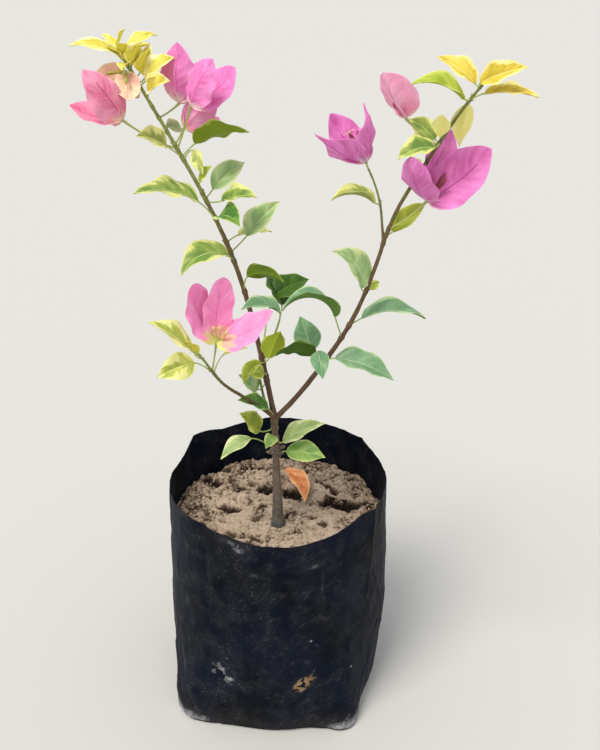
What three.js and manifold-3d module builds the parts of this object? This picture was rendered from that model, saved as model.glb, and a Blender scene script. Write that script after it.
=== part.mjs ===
// A young variegated bougainvillea standing in the black polythene grow bag that it was raised in.
// Millimetres, +Z up, -Y towards the viewer. The origin is the middle of the bag's flat underside.
import * as THREE from 'three';
import { mergeVertices } from 'three/addons/utils/BufferGeometryUtils.js';
import Module from 'manifold-3d';

const wasm = await Module();
wasm.setup();

// Driving dimensions of the bag
const rimRadius = 80.8;
const rimHeight = 177;
const filmWall = 1.2;
const bagSides = 32;
// Each ring of the bag: height, radius, and how far its plan follows the corners of the seam
const bagRings = [
  [0, 79, 1], [3, 82, 1], [12, 83.5, 0.85], [34, 84.5, 0.42],
  [76, 84.6, 0.1], [125, 82.6, 0], [rimHeight, rimRadius, 0],
];
// The four corners of the foot and its flatter sides: compass direction, reach, half width in degrees
const footCorners = [
  [45, 14, 14], [135, 14, 16], [223, 14.5, 17], [306, 16, 12], [180, -3.5, 20], [0, -3.5, 20],
];
const footShift = -2.5;
const waveStart = 105;
// Where the rim rises or dips: compass direction, height, half width in degrees
const rimWaves = [
  [60, 3.5, 34], [100, 3, 22], [141, 8, 13], [158, -4, 16],
  [190, -2, 16], [228, 1.5, 22], [279, -3.6, 21], [318, 3, 16],
];

// Driving dimensions of the soil
const soilTop = 143;
const soilGap = 0.3;
const soilEdge = 2.4;
const soilRings = [0.12, 0.34, 0.56, 0.78];
const soilLumps = 1.6;
const stemPad = 11;

// Driving dimensions of the wood
const joint = 0.3;
const walkStep = 4;
const footFlare = 1.6;
const flareReach = 7;
const limbStride = 17;

// Driving dimensions of the leaves and bracts
const padThick = 1.0;
const stalkHalf = 0.9;
const stalkSides = 3;
const bladeSteps = 20;
const bladeStops = [0, 4, 12, 20];
const sleeveWall = 0.8;
const sleeveEnd = 2;
const bractStops = [0, 0.16, 0.54, 1];
const bractBulge = 0.1;
const bractCup = 22;
const bractSpread = 0.25;
// Cuts and joins leave slivers, which are closed up where they are thinner than this
const sliver = 0.05;

const toRadians = THREE.MathUtils.degToRad;
const heading = (rise, compass) => new THREE.Vector3(
  Math.cos(toRadians(rise)) * Math.cos(toRadians(compass)),
  Math.cos(toRadians(rise)) * Math.sin(toRadians(compass)),
  Math.sin(toRadians(rise)),
);

// A limb bends evenly through its list of rises and compass directions, from its foot to its tip.
// thick is its diameter at the foot and at the tip.
const limbs = {
  main_stem: {
    start: new THREE.Vector3(0, -13.5, soilTop + joint), length: 94, thick: [8.4, 5.4], sides: 8,
    rise: [90, 89, 89, 88], compass: [180, 180],
  },
  left_bough: {
    on: 'main_stem', at: 93.7, length: 254, thick: [4.4, 2.2], sides: 6,
    rise: [78, 76.5, 76, 70, 63, 58, 57, 57], compass: [142, 148, 154, 158, 160, 158, 158, 157],
  },
  right_bough: {
    on: 'main_stem', at: 91, length: 269, thick: [4.4, 1.9], sides: 6,
    rise: [48, 56, 60, 70, 75, 61, 60, 52], compass: [-8, -11, -12, -22, -27, -23, -24, -35],
  },
  side_shoot: {
    on: 'main_stem', at: 92, length: 106, thick: [2.9, 1.5], sides: 5,
    rise: [50, 44, 42, 43, 54, 52, 42], compass: [-140, -135, -136, -138, -124, -112, -103],
  },
  inner_shoot: {
    on: 'main_stem', at: 89, length: 44, thick: [2.4, 1.6], sides: 5,
    rise: [62, 78, 84], compass: [200, 165, 130],
  },
  flower_twig: {
    on: 'right_bough', at: 155, length: 48, thick: [1.7, 1.2], sides: 5,
    rise: [70, 80, 72, 62], compass: [100, 120, 175, 190],
  },
};

const stalk = (length, rise, compass) => ({ length, rise, compass });
const blade = (length, width, pitch, compass, roll, droop, fold = 15) => (
  { length, width, pitch, compass, roll, droop, fold });
const leaf = (at, leafStalk, leafBlade) => ({ at, stalk: leafStalk, blade: leafBlade });

// A leaf stands on its limb, at millimetres from the limb's foot.
// Its stalk is (length, rise, compass) and its blade (length, width, pitch, compass, roll, droop, fold).
const sprays = {
  left_tip_leaves: { on: 'left_bough', leaves: [
    leaf(252, stalk(9, 52, -136), blade(32, 13, 32, -160, -28, 40)),
    leaf(254, stalk(11, 51, 163), blade(16, 8, 39, 133, 0, 20)),
    leaf(254, stalk(11, 51, 154), blade(16, 8, 50, 68, -60, 20)),
    leaf(250, stalk(12, 59, 94), blade(25, 10, 52, 42, 25, 70)),
    leaf(250, stalk(7, 28, -69), blade(18, 10, 56, -47, -10, 10)),
  ] },
  left_crown_leaves: { on: 'left_bough', leaves: [
    leaf(240, stalk(7, 29, 53), blade(22, 12, 70, 73, -10, 20)),
    leaf(238, stalk(7, 36, -40), blade(26, 16, 47, -18, 50, 25, 25)),
    leaf(224, stalk(10, 66, -105), blade(24, 15, 37, -43, 60, 30, 35)),
  ] },
  left_upper_leaves: { on: 'left_bough', leaves: [
    leaf(188, stalk(13, 40, -151), blade(28, 17, 35, -128, -55, 25, 25)),
    leaf(188, stalk(13, 45, -19), blade(39, 23, 34, -15, -35, 40)),
    leaf(186, stalk(12, 39, -40), blade(18, 10, -32, -59, 60, 30)),
  ] },
  left_middle_leaves: { on: 'left_bough', leaves: [
    leaf(158, stalk(8, 40, 43), blade(30, 18, 42, 40, 45, 30, 30)),
    leaf(144, stalk(16, 50, -163), blade(44, 25, 37, -163, -15, 50)),
    leaf(156, stalk(10, 9, -17), blade(28, 17, 30, -26, 30, 35, 25)),
    leaf(144, stalk(6, 17, -68), blade(28, 18, 38, -54, 25, 70, 25)),
  ] },
  left_lower_leaves: { on: 'left_bough', leaves: [
    leaf(120, stalk(15, 44, 12), blade(32, 20, 48, 28, 40, 20, 35)),
    leaf(127, stalk(11, 16, 45), blade(26, 13, 10, 33, 10, 30)),
    leaf(114, stalk(6, 46, -136), blade(40, 22, 38, -148, -22, 100, 20)),
    leaf(92, stalk(13, 70, -60), blade(31, 15, 35, -32, -60, 60)),
  ] },
  inner_leaves: { on: 'left_bough', leaves: [
    leaf(40, stalk(44, 70, -32), blade(30, 17, 44, -159, -15, 60, 25)),
    leaf(40, stalk(42, 65, 40), blade(24, 20, 58, 130, 20, 30)),
    leaf(44, stalk(43, 70, 57), blade(27, 18, 30, 28, 30, 30)),
    leaf(40, stalk(8, 43, -45), blade(26, 17, 70, -35, -45, 10)),
    leaf(40, stalk(6, 29, -99), blade(22, 12, 8, -132, -5, 70, 30)),
    leaf(30, stalk(9, 44, -99), blade(16, 10, 27, -128, -70, 20)),
    leaf(20, stalk(8, -36, -125), blade(20, 11, 57, -144, -65, 20)),
  ] },
  stem_leaves: { on: 'main_stem', leaves: [
    leaf(88, stalk(10, 33, -121), blade(27, 15, 43, -142, -30, 20, 25)),
    leaf(84, stalk(9, 2, -140), blade(24, 15, 61, -139, -60, 20)),
    leaf(76, stalk(8, 37, -92), blade(16, 10, 15, -110, -20, 40)),
    leaf(66, stalk(21, 34, -167), blade(27, 15, -4, -150, -5, 40, 20)),
    leaf(74, stalk(6, -8, -21), blade(36, 16, 47, -8, 32, 30, 20)),
    leaf(64, stalk(9, 18, -27), blade(29, 18, 13, -16, 30, 30, 10)),
  ] },
  right_lower_leaves: { on: 'right_bough', leaves: [
    leaf(54, stalk(11, 64, -139), blade(32, 16, 44, -156, 55, 60)),
    leaf(56, stalk(12, 53, 155), blade(25, 19, 66, 135, -40, 10, 10)),
    leaf(54, stalk(17, 68, -105), blade(21, 13, -23, -79, 15, 30)),
    leaf(58, stalk(10, 36, -23), blade(43, 23, 1, -14, 15, 34, 20)),
  ] },
  right_middle_leaves: { on: 'right_bough', leaves: [
    leaf(92, stalk(10, 26, 20), blade(46, 22, 26, 10, 5, 60, 20)),
    leaf(82, stalk(17, 71, -144), blade(47, 19, 78, -167, 10, 130, 30)),
  ] },
  right_bend_leaves: { on: 'right_bough', leaves: [
    leaf(120, stalk(5, 35, -140), blade(36, 19, 98, -172, -55, 90, 25)),
  ] },
  right_upper_leaves: { on: 'right_bough', leaves: [
    leaf(161, stalk(5, 6, 41), blade(32, 14, 34, 38, 35, 20, 30)),
  ] },
  right_crown_leaves: { on: 'right_bough', leaves: [
    leaf(227, stalk(5, -25, -131), blade(24, 16, 12, -165, -30, 50, 20)),
    leaf(227, stalk(4, 10, 125), blade(20, 13, 46, 150, -60, 30, 20)),
    leaf(231, stalk(4, 4, -133), blade(16, 9, 63, -93, -10, 10, 20)),
  ] },
  right_tip_leaves: { on: 'right_bough', leaves: [
    leaf(255, stalk(5, -24, 86), blade(24, 13, -70, 103, 0, 10)),
    leaf(257, stalk(5, 4, -144), blade(34, 14, 46, -165, -26, 60, 20)),
    leaf(265, stalk(4, 20, 120), blade(22, 12, 43, 154, -30, 30, 20)),
    leaf(266, stalk(4, 42, -123), blade(20, 10, 31, -28, 55, 20, 20)),
    leaf(255, stalk(10, 32, -30), blade(30, 13, 14, -21, 20, 30, 20)),
  ] },
  side_shoot_leaves: { on: 'side_shoot', leaves: [
    leaf(103, stalk(7, 41, -143), blade(34, 20, 53, -156, -25, 20, 20)),
    leaf(96, stalk(4, 55, -56), blade(14, 9, 76, -110, 15, 10)),
    leaf(74, stalk(16, 38, -171), blade(27, 19, 4, -146, -55, 20, 20)),
  ] },
  twig_leaves: { on: 'flower_twig', leaves: [
    leaf(24, stalk(4, 20, -150), blade(30, 13, 46, -172, -10, 80, 25)),
  ] },
};

const bract = (length, width, rise, compass, roll) => ({ length, width, rise, compass, roll });

// A flower's three bracts, (length, width, rise, compass, roll), open from the end of one shared stalk.
const flowers = {
  left_outer_bracts: { on: 'left_bough', at: 194, stalk: stalk(38, 31, -162), bracts: [
    bract(38, 24, 56, -152, 105), bract(35, 21, 14, 170, -25), bract(37, 22, 31, 136, -90)] },
  left_tip_bracts: { on: 'left_bough', at: 247, stalk: stalk(7, 16, -115), bracts: [
    bract(21, 12, 32, -174, -135), bract(16, 10, -48, -131, 115), bract(18, 11, -69, 28, 155)] },
  left_near_bracts: { on: 'left_bough', at: 194, stalk: stalk(31, 64, -36), bracts: [
    bract(34, 20, 57, -26, -105), bract(34, 20, 35, 17, 40), bract(28, 17, 34, 52, 90)] },
  left_high_bracts: { on: 'left_bough', at: 216, stalk: stalk(16, 33, 4), bracts: [
    bract(37, 22, 79, -64, -50), bract(27, 16, 52, 45, 10), bract(25, 15, 47, 85, 55)] },
  left_small_bracts: { on: 'left_bough', at: 197, stalk: stalk(12, 47, 46), bracts: [
    bract(30, 19, 43, 0, -105), bract(25, 15, 11, 24, 20), bract(26, 15, 40, 55, 95)] },
  twig_bracts: { on: 'flower_twig', at: 48, stalk: stalk(3, 70, 180), bracts: [
    bract(38, 20, 32, -163, 45), bract(36, 23, 46, 152, -35), bract(36, 18, 83, -119, 82)] },
  right_closed_bracts: { on: 'right_bough', at: 225, stalk: stalk(24, 37, 171), bracts: [
    bract(29, 22, 60, -147, 25), bract(26, 20, 56, 147, -20), bract(22, 17, 69, 60, -150)] },
  right_open_bracts: { on: 'right_bough', at: 165, stalk: stalk(30, 41, -21), bracts: [
    bract(48, 29, 43, -16, 55), bract(44, 26, 63, 38, 90), bract(36, 23, 55, -128, -5)] },
  side_shoot_bracts: { on: 'side_shoot', at: 79, stalk: stalk(22, 81, -64), bracts: [
    bract(43, 22, 71, -163, -45), bract(42, 21, 76, 23, 100), bract(44, 22, 32, -12, 30)] },
};

// The dry leaf that lies on the soil
const fallenLeaf = { start: new THREE.Vector3(9, 50, soilTop + 6), blade: blade(43, 17, -2, -72, 14, 4, 18) };

const colours = {
  film: [0x15171d, 0.45],
  soil: [0x9c8670, 1.0],
  bark: [0x6a4f38, 0.9],
  leaf: [0x6f9440, 0.5],
  bract: [0xe274b4, 0.6],
  dryLeaf: [0xd98a55, 0.8],
};

const material = ([color, roughness]) => new THREE.MeshStandardMaterial({ color, roughness, metalness: 0 });

// Value part of the way along an evenly spaced list
function along(list, t) {
  const place = THREE.MathUtils.clamp(t, 0, 1) * (list.length - 1);
  const i = Math.min(Math.floor(place), list.length - 2);
  return THREE.MathUtils.lerp(list[i], list[i + 1], place - i);
}

// Centre line of a limb, walked in short steps from its foot
function walkLimb(name) {
  const limb = limbs[name];
  if (limb.points) return limb.points;
  const foot = limb.start ?? placeOn(limb.on, limb.at);
  const count = Math.round(limb.length / walkStep);
  limb.step = limb.length / count;
  limb.points = [foot.clone()];
  for (let i = 0; i < count; i += 1) {
    const t = (i + 0.5) / count;
    const ahead = heading(along(limb.rise, t), along(limb.compass, t));
    limb.points.push(limb.points[i].clone().addScaledVector(ahead, limb.step));
  }
  return limb.points;
}

// Point on a limb's centre line, in millimetres from its foot
function placeOn(name, at) {
  const points = walkLimb(name);
  const place = THREE.MathUtils.clamp(at / limbs[name].step, 0, points.length - 1.0001);
  const i = Math.floor(place);
  return points[i].clone().lerp(points[i + 1], place - i);
}

const limbRadius = (name, at) => {
  const { thick, length } = limbs[name];
  const flare = name === 'main_stem' ? footFlare * Math.exp(-at / flareReach) : 0;
  return THREE.MathUtils.lerp(thick[0], thick[1], at / length) / 2 + flare;
};

function geometryFrom(vertices, faces) {
  const geometry = new THREE.BufferGeometry();
  geometry.setAttribute('position', new THREE.Float32BufferAttribute(vertices, 3));
  geometry.setIndex(faces);
  return geometry;
}

// Closed solid from a geometry, its shared vertices merged
function solidFrom(geometry) {
  const bare = geometry.clone();
  bare.deleteAttribute('normal');
  bare.deleteAttribute('uv');
  const merged = mergeVertices(bare, 1e-4);
  return new wasm.Manifold(new wasm.Mesh({
    numProp: 3,
    vertProperties: new Float32Array(merged.attributes.position.array),
    triVerts: new Uint32Array(merged.index.array),
  }));
}

function geometryOf(solid) {
  const mesh = solid.simplify(sliver).getMesh();
  return geometryFrom(Array.from(mesh.vertProperties), Array.from(mesh.triVerts));
}

// Capped tube through points, with its own radius at each
function tube(points, radii, sides) {
  const vertices = [];
  const faces = [];
  const ahead = new THREE.Vector3();
  const across = new THREE.Vector3(1, 0, 0);
  points.forEach((point, i) => {
    ahead.subVectors(points[Math.min(i + 1, points.length - 1)], points[Math.max(i - 1, 0)]).normalize();
    across.addScaledVector(ahead, -across.dot(ahead)).normalize();
    const other = new THREE.Vector3().crossVectors(ahead, across);
    for (let k = 0; k < sides; k += 1) {
      const a = (k / sides) * Math.PI * 2;
      const spot = point.clone()
        .addScaledVector(across, radii[i] * Math.cos(a))
        .addScaledVector(other, radii[i] * Math.sin(a));
      vertices.push(...spot.toArray());
    }
  });
  const last = (points.length - 1) * sides;
  for (let i = 0; i < points.length - 1; i += 1) {
    for (let k = 0; k < sides; k += 1) {
      const a = i * sides + k;
      const b = i * sides + ((k + 1) % sides);
      faces.push(a, b, b + sides, a, b + sides, a + sides);
    }
  }
  for (let k = 1; k < sides - 1; k += 1) {
    faces.push(0, k + 1, k);
    faces.push(last, last + k, last + k + 1);
  }
  return solidFrom(geometryFrom(vertices, faces));
}

// Tube round a stretch of a limb, grown by a clearance, with both of its ends carried past by another one
function limbTube(name, grow, { from = 0, to = limbs[name].length, past = 0 } = {}) {
  const { sides, rise, compass } = limbs[name];
  const count = Math.max(1, Math.round((to - from) / limbStride));
  const places = Array.from({ length: count + 1 }, (_, i) => THREE.MathUtils.lerp(from, to, i / count));
  const points = places.map((at) => placeOn(name, at));
  points[0].addScaledVector(heading(rise[0], compass[0]), -past);
  points[count].addScaledVector(heading(rise.at(-1), compass.at(-1)), past);
  return tube(points, places.map((at) => limbRadius(name, at) + grow), sides);
}

const limbRoom = (name) => limbTube(name, joint, { past: joint });

// Half width of a blade part of the way from base to tip
const leafHalf = (t) => Math.sin(Math.PI * t ** 0.74) ** 0.95 / 2;
const bractHalf = (t) => Math.sin(Math.PI * t ** 0.62) ** 0.85 / 2;

// Thin closed pad from rows of points across a blade, each row with the direction that its face looks in.
// The foot has two points, a row of the blade three, and the tip one that both faces share.
function pad(rows) {
  const vertices = [];
  const faces = [];
  const spots = rows.map(({ points, up }, i) => [1, -1].map((sign) => {
    const thick = i === rows.length - 1 ? 0 : (sign * padThick) / 2;
    const shifted = points.map((point) => point.clone().addScaledVector(up, thick));
    return shifted.map((point) => vertices.push(...point.toArray()) / 3 - 1);
  }));
  // Both faces are split along the same diagonals, so that a twisted pad keeps its thickness
  const face = (turned, first, ...rest) => {
    const loop = [first, ...(turned ? rest.reverse() : rest)];
    for (let k = 1; k < loop.length - 1; k += 1) faces.push(loop[0], loop[k], loop[k + 1]);
  };
  for (let i = 0; i < rows.length - 1; i += 1) {
    const [low, high] = [spots[i], spots[i + 1]];
    [0, 1].forEach((under) => {
      const [a, b] = [low[under], high[under]];
      if (a.length === b.length) a.slice(1).forEach((_, k) => face(under, a[k], a[k + 1], b[k + 1], b[k]));
      else if (b.length === 1) a.slice(1).forEach((_, k) => face(under, a[k], a[k + 1], b[0]));
      else face(under, a[0], a[1], b[2], b[1], b[0]);
    });
    face(false, low[0][0], high[0][0], high[1][0], low[1][0]);
    face(true, low[0].at(-1), high[0].at(-1), high[1].at(-1), low[1].at(-1));
  }
  face(false, spots[0][0][0], spots[0][1][0], spots[0][1][1], spots[0][0][1]);
  return solidFrom(geometryFrom(vertices, faces.flat()));
}

// The across and face directions of a blade that runs ahead and is rolled about that line
function bladeFrame(ahead, compass, roll) {
  const level = new THREE.Vector3(Math.sin(toRadians(compass)), -Math.cos(toRadians(compass)), 0);
  const above = new THREE.Vector3().crossVectors(level, ahead);
  const c = Math.cos(toRadians(roll));
  const s = Math.sin(toRadians(roll));
  return {
    across: level.clone().multiplyScalar(c).addScaledVector(above, -s),
    face: above.clone().multiplyScalar(c).addScaledVector(level, s),
  };
}

// Points across a blade at one place: the whole width with its raised halves, or a narrow foot, or the tip
function bladeRow(middle, { across, face }, half, fold, sides = [-1, 0, 1]) {
  const lift = half * Math.sin(toRadians(fold));
  const reach = half * Math.cos(toRadians(fold));
  const points = sides.map((side) => middle.clone()
    .addScaledVector(across, side * reach)
    .addScaledVector(face, Math.abs(side) * lift));
  return { points, up: face };
}

const rowSides = (i, count) => (i === 0 ? [-1, 1] : i === count ? [0] : [-1, 0, 1]);

// Frame of a stalk that keeps the blade's face as far as its own direction lets it
function stalkFrame(ahead, bladeFace) {
  const face = bladeFace.clone().addScaledVector(ahead, -bladeFace.dot(ahead)).normalize();
  return { across: new THREE.Vector3().crossVectors(ahead, face), face };
}

// Rows of a leaf's blade from its foot, its midrib bending down by the droop along the way
function leafRows(base, { length, width, pitch, compass, roll, droop, fold }) {
  const middle = base.clone();
  const rows = [];
  for (let i = 0; i <= bladeSteps; i += 1) {
    const t = i / bladeSteps;
    if (bladeStops.includes(i)) {
      const frame = bladeFrame(heading(pitch - droop * t, compass), compass, roll);
      const half = Math.max(width * leafHalf(t), stalkHalf);
      rows.push(bladeRow(middle, frame, half, fold, rowSides(i, bladeSteps)));
    }
    middle.addScaledVector(heading(pitch - droop * (t + 0.5 / bladeSteps), compass), length / bladeSteps);
  }
  return rows;
}

// A leaf from its foot on the limb: a narrow stalk that widens into the blade
function leafSolid(foot, own) {
  const ahead = heading(own.stalk.rise, own.stalk.compass);
  const rows = leafRows(foot.clone().addScaledVector(ahead, own.stalk.length), own.blade);
  return pad([bladeRow(foot, stalkFrame(ahead, rows[0].up), stalkHalf, 0, [-1, 1]), ...rows]);
}

// A bract is a hollow pad on a straight chord
function bractPad(base, { length, width, rise, compass, roll }) {
  const ahead = heading(rise, compass);
  const frame = bladeFrame(ahead, compass, roll);
  const rows = bractStops.map((t, i) => {
    const middle = base.clone().addScaledVector(ahead, length * t)
      .addScaledVector(frame.face, -bractSpread - bractBulge * length * Math.sin(Math.PI * t));
    const half = Math.max(width * bractHalf(t), stalkHalf);
    return bladeRow(middle, frame, half, bractCup, rowSides(i, bractStops.length - 1));
  });
  return pad(rows);
}

// A cut can leave a crumb behind; the solid is the largest piece
const largest = (solid) => solid.decompose().sort((a, b) => b.volume() - a.volume())[0];

const joinAll = (solids) => solids.reduce((whole, solid) => whole.add(solid));

// The limbs in the order that they were laid, each cut back where it meets those before it
function buildLimbs() {
  const built = {};
  const laid = [];
  for (const name of Object.keys(limbs)) {
    let solid = limbTube(name, 0);
    laid.forEach((other) => { solid = solid.subtract(limbRoom(other)); });
    built[name] = largest(solid);
    laid.push(name);
  }
  return built;
}

// Cuts a solid back from every limb that it meets
function clearOfLimbs(solid) {
  return Object.keys(limbs).reduce((rest, name) => {
    const room = limbRoom(name);
    return rest.intersect(room).isEmpty() ? rest : rest.subtract(room);
  }, solid);
}

// Angle between a limb and a stalk that leaves it
const stalkAngle = (on, at, ahead) => placeOn(on, at + 1).sub(placeOn(on, at)).normalize().angleTo(ahead);

// How far out along its own direction a stalk starts to stay clear of its limb and of any sleeve there
const clearStart = (on, at, ahead) => (limbRadius(on, at) + sleeveWall + 2 * joint + stalkHalf / 2)
  / Math.sin(stalkAngle(on, at, ahead));

// Where on the limb's length a stalk comes out of it
function exitPlace(on, at, own) {
  const angle = stalkAngle(on, at, heading(own.rise, own.compass));
  return at + (limbRadius(on, at) + joint + sleeveWall / 2) / Math.tan(angle);
}

// A spray is its leaves and a thin sleeve round the limb that joins their stalks.
// A lone leaf needs no sleeve.
function buildSpray({ on, leaves }) {
  if (leaves.length === 1) return largest(clearOfLimbs(leafSolid(placeOn(on, leaves[0].at), leaves[0])));
  const places = leaves.flatMap((one) => [one.at, exitPlace(on, one.at, one.stalk)]);
  const from = Math.max(1, Math.min(...places) - sleeveEnd);
  const to = Math.min(limbs[on].length - 0.5, Math.max(...places) + sleeveEnd);
  const sleeve = limbTube(on, joint + sleeveWall, { from, to });
  const solids = leaves.map((one) => leafSolid(placeOn(on, Math.min(one.at, to - 1)), one));
  return largest(clearOfLimbs(joinAll([sleeve, ...solids])));
}

// A flower head is its stalk and three bracts; the stalk stops clear of the limb and of any sleeve there
function buildFlower({ on, at, stalk: own, bracts }) {
  const ahead = heading(own.rise, own.compass);
  const foot = placeOn(on, at);
  const clear = Math.min(clearStart(on, at, ahead), own.length / 2);
  const base = foot.clone().addScaledVector(ahead, own.length);
  const start = foot.clone().addScaledVector(ahead, clear);
  const end = base.clone().addScaledVector(ahead, stalkHalf);
  const stem = tube([start, end], [stalkHalf, stalkHalf], stalkSides);
  return largest(clearOfLimbs(joinAll([stem, ...bracts.map((one) => bractPad(base, one))])));
}

// How far a ring swells in one compass direction, from a list of [direction, swell, half width]
function swell(list, compass) {
  return list.reduce((sum, [middle, height, spread]) => {
    const away = ((compass - middle + 540) % 360) - 180;
    return sum + height * Math.exp(-((away / spread) ** 2));
  }, 0);
}

// Point of the bag's surface in one compass direction, at a level of its rings and inset by a wall
function bagPoint(compass, [level, radius, square], inset) {
  const reach = radius + square * swell(footCorners, compass) - inset;
  const lift = THREE.MathUtils.smoothstep(level, waveStart, rimHeight) * swell(rimWaves, compass);
  const shift = footShift * (1 - THREE.MathUtils.smoothstep(level, 0, waveStart));
  const a = toRadians(compass);
  return [reach * Math.cos(a) + shift, reach * Math.sin(a), level + lift];
}

// Closed skin over rings of points from the lowest to the highest, with both ends filled.
// Its quads are split along one diagonal, or along the other one when crossed.
function ringSolid(rows, sides, crossed = false) {
  const vertices = rows.flat(2);
  const faces = [];
  for (let i = 0; i < rows.length - 1; i += 1) {
    for (let k = 0; k < sides; k += 1) {
      const a = i * sides + k;
      const b = i * sides + ((k + 1) % sides);
      if (crossed) faces.push(a, b, a + sides, b, b + sides, a + sides);
      else faces.push(a, b, b + sides, a, b + sides, a + sides);
    }
  }
  const first = vertices.length / 3;
  const middle = (row) => [0, 1, 2].map((axis) => row.reduce((sum, point) => sum + point[axis], 0) / sides);
  vertices.push(...middle(rows[0]), ...middle(rows.at(-1)));
  const last = (rows.length - 1) * sides;
  for (let k = 0; k < sides; k += 1) {
    faces.push(first, (k + 1) % sides, k);
    faces.push(first + 1, last + k, last + ((k + 1) % sides));
  }
  return geometryFrom(vertices, faces);
}

const directions = (sides) => Array.from({ length: sides }, (_, k) => (360 * k) / sides);

// Open bag: up the outside, over the rim and down the inside to its floor
function buildBag() {
  const outside = bagRings.map((ring) => directions(bagSides).map((compass) => bagPoint(compass, ring, 0)));
  const inside = [...bagRings.slice(2).reverse(), wallRing(filmWall)]
    .map((ring) => directions(bagSides).map((compass) => bagPoint(compass, ring, filmWall)));
  return ringSolid([...outside, ...inside], bagSides);
}

// Gentle lumps of the soil, level round the foot of the stem
function soilHeight(x, y) {
  const lumps = Math.sin(x / 9.5 + 1.3) * Math.cos(y / 8 - 0.6) + 0.6 * Math.sin((x + 2 * y) / 13);
  const foot = limbs.main_stem.start;
  const calm = THREE.MathUtils.smoothstep(Math.hypot(x - foot.x, y - foot.y), stemPad, 2.2 * stemPad);
  return soilTop + soilLumps * calm * lumps;
}

// Ring of the bag's inner wall at a height between its own rings
function wallRing(height) {
  const upper = bagRings.findIndex(([level]) => level > height);
  const [low, high] = [bagRings[upper - 1], bagRings[upper]];
  const t = (height - low[0]) / (high[0] - low[0]);
  return [height, THREE.MathUtils.lerp(low[1], high[1], t), THREE.MathUtils.lerp(low[2], high[2], t)];
}

function buildSoil() {
  const inset = filmWall + soilGap;
  const sides = bagSides;
  const levels = [filmWall + soilGap, ...bagRings.slice(2, -1).map(([level]) => level), soilTop - soilEdge];
  const wall = levels.map((level) => directions(sides).map((compass) => {
    const [x, y] = bagPoint(compass, wallRing(level), inset);
    return [x, y, level];
  }));
  const edge = wallRing(soilTop)[1] - inset;
  const foot = limbs.main_stem.start;
  const top = [...soilRings].reverse().map((share) => directions(sides).map((compass) => {
    const a = toRadians(compass);
    const x = foot.x * (1 - share) + edge * share * Math.cos(a);
    const y = foot.y * (1 - share) + edge * share * Math.sin(a);
    return [x, y, soilHeight(x, y)];
  }));
  const shoulder = directions(sides).map((compass) => {
    const a = toRadians(compass);
    const [x, y] = [(edge - soilEdge) * Math.cos(a), (edge - soilEdge) * Math.sin(a)];
    return [x, y, soilHeight(x, y)];
  });
  return ringSolid([...wall, shoulder, ...top], sides, true);
}

const plant = new THREE.Group();

function addPiece(name, geometry, look) {
  const mesh = new THREE.Mesh(geometry, look);
  mesh.name = name;
  plant.add(mesh);
}

addPiece('grow_bag', buildBag(), material(colours.film));
addPiece('potting_soil', buildSoil(), material(colours.soil));
for (const [name, solid] of Object.entries(buildLimbs())) {
  addPiece(name, geometryOf(solid), material(colours.bark));
}
for (const [name, spray] of Object.entries(sprays)) {
  addPiece(name, geometryOf(buildSpray(spray)), material(colours.leaf));
}
for (const [name, flower] of Object.entries(flowers)) {
  addPiece(name, geometryOf(buildFlower(flower)), material(colours.bract));
}
const dryPad = pad(leafRows(fallenLeaf.start, fallenLeaf.blade));
addPiece('fallen_leaf', geometryOf(dryPad), material(colours.dryLeaf));

export default plant;
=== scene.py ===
from math import cos, pi, radians, sin, sqrt

import bmesh
import bpy
import numpy as np
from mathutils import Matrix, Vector


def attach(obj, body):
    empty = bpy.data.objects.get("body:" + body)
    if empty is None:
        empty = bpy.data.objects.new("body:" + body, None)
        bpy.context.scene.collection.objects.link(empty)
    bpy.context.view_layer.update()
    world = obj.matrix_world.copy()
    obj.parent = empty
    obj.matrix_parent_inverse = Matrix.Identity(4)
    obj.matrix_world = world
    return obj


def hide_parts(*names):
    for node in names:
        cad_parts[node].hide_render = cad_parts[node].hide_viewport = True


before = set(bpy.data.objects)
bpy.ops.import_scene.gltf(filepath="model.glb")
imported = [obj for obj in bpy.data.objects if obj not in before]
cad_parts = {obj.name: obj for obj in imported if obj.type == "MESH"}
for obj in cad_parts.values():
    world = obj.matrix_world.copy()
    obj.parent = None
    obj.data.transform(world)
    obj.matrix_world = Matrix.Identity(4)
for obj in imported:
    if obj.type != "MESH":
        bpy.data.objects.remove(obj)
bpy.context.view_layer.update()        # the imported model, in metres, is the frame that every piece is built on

# A young variegated bougainvillea in a black polythene grow bag.
# All sizes here are millimetres until a mesh is made. -Y faces the camera and the bag stands on z = 0.
mm = 0.001
rng = np.random.default_rng(11)


# Small tools for shapes

def unit(v):
    return v / (np.linalg.norm(v) + 1e-12)


def heading(rise, compass):
    rise, compass = np.radians(rise), np.radians(compass)
    return np.stack([np.cos(rise) * np.cos(compass), np.cos(rise) * np.sin(compass), np.sin(rise)], -1)


# Value part of the way along an evenly spaced list
def along(keys, t):
    return np.interp(np.clip(t, 0, 1) * (len(keys) - 1), np.arange(len(keys)), keys)


def ease(low, high, x):
    t = np.clip((x - low) / (high - low), 0, 1)
    return t * t * (3 - 2 * t)


def bell(x, width):
    return np.exp(-(x / width) ** 2)


def turnsRound(count):
    return np.arange(count) / count * 2 * pi


# Degrees round from one compass direction to another, from -180 to 180
def awayFrom(middle, compass):
    return ((compass - middle + 540) % 360) - 180


# How far out a place lies in a turned ellipse: 0 in its middle, 1 at its edge
def ellipseReach(dx, dy, longer, wider, turn):
    c, s = cos(radians(turn)), sin(radians(turn))
    return np.hypot((dx * c + dy * s) / longer, (dy * c - dx * s) / wider)


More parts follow.
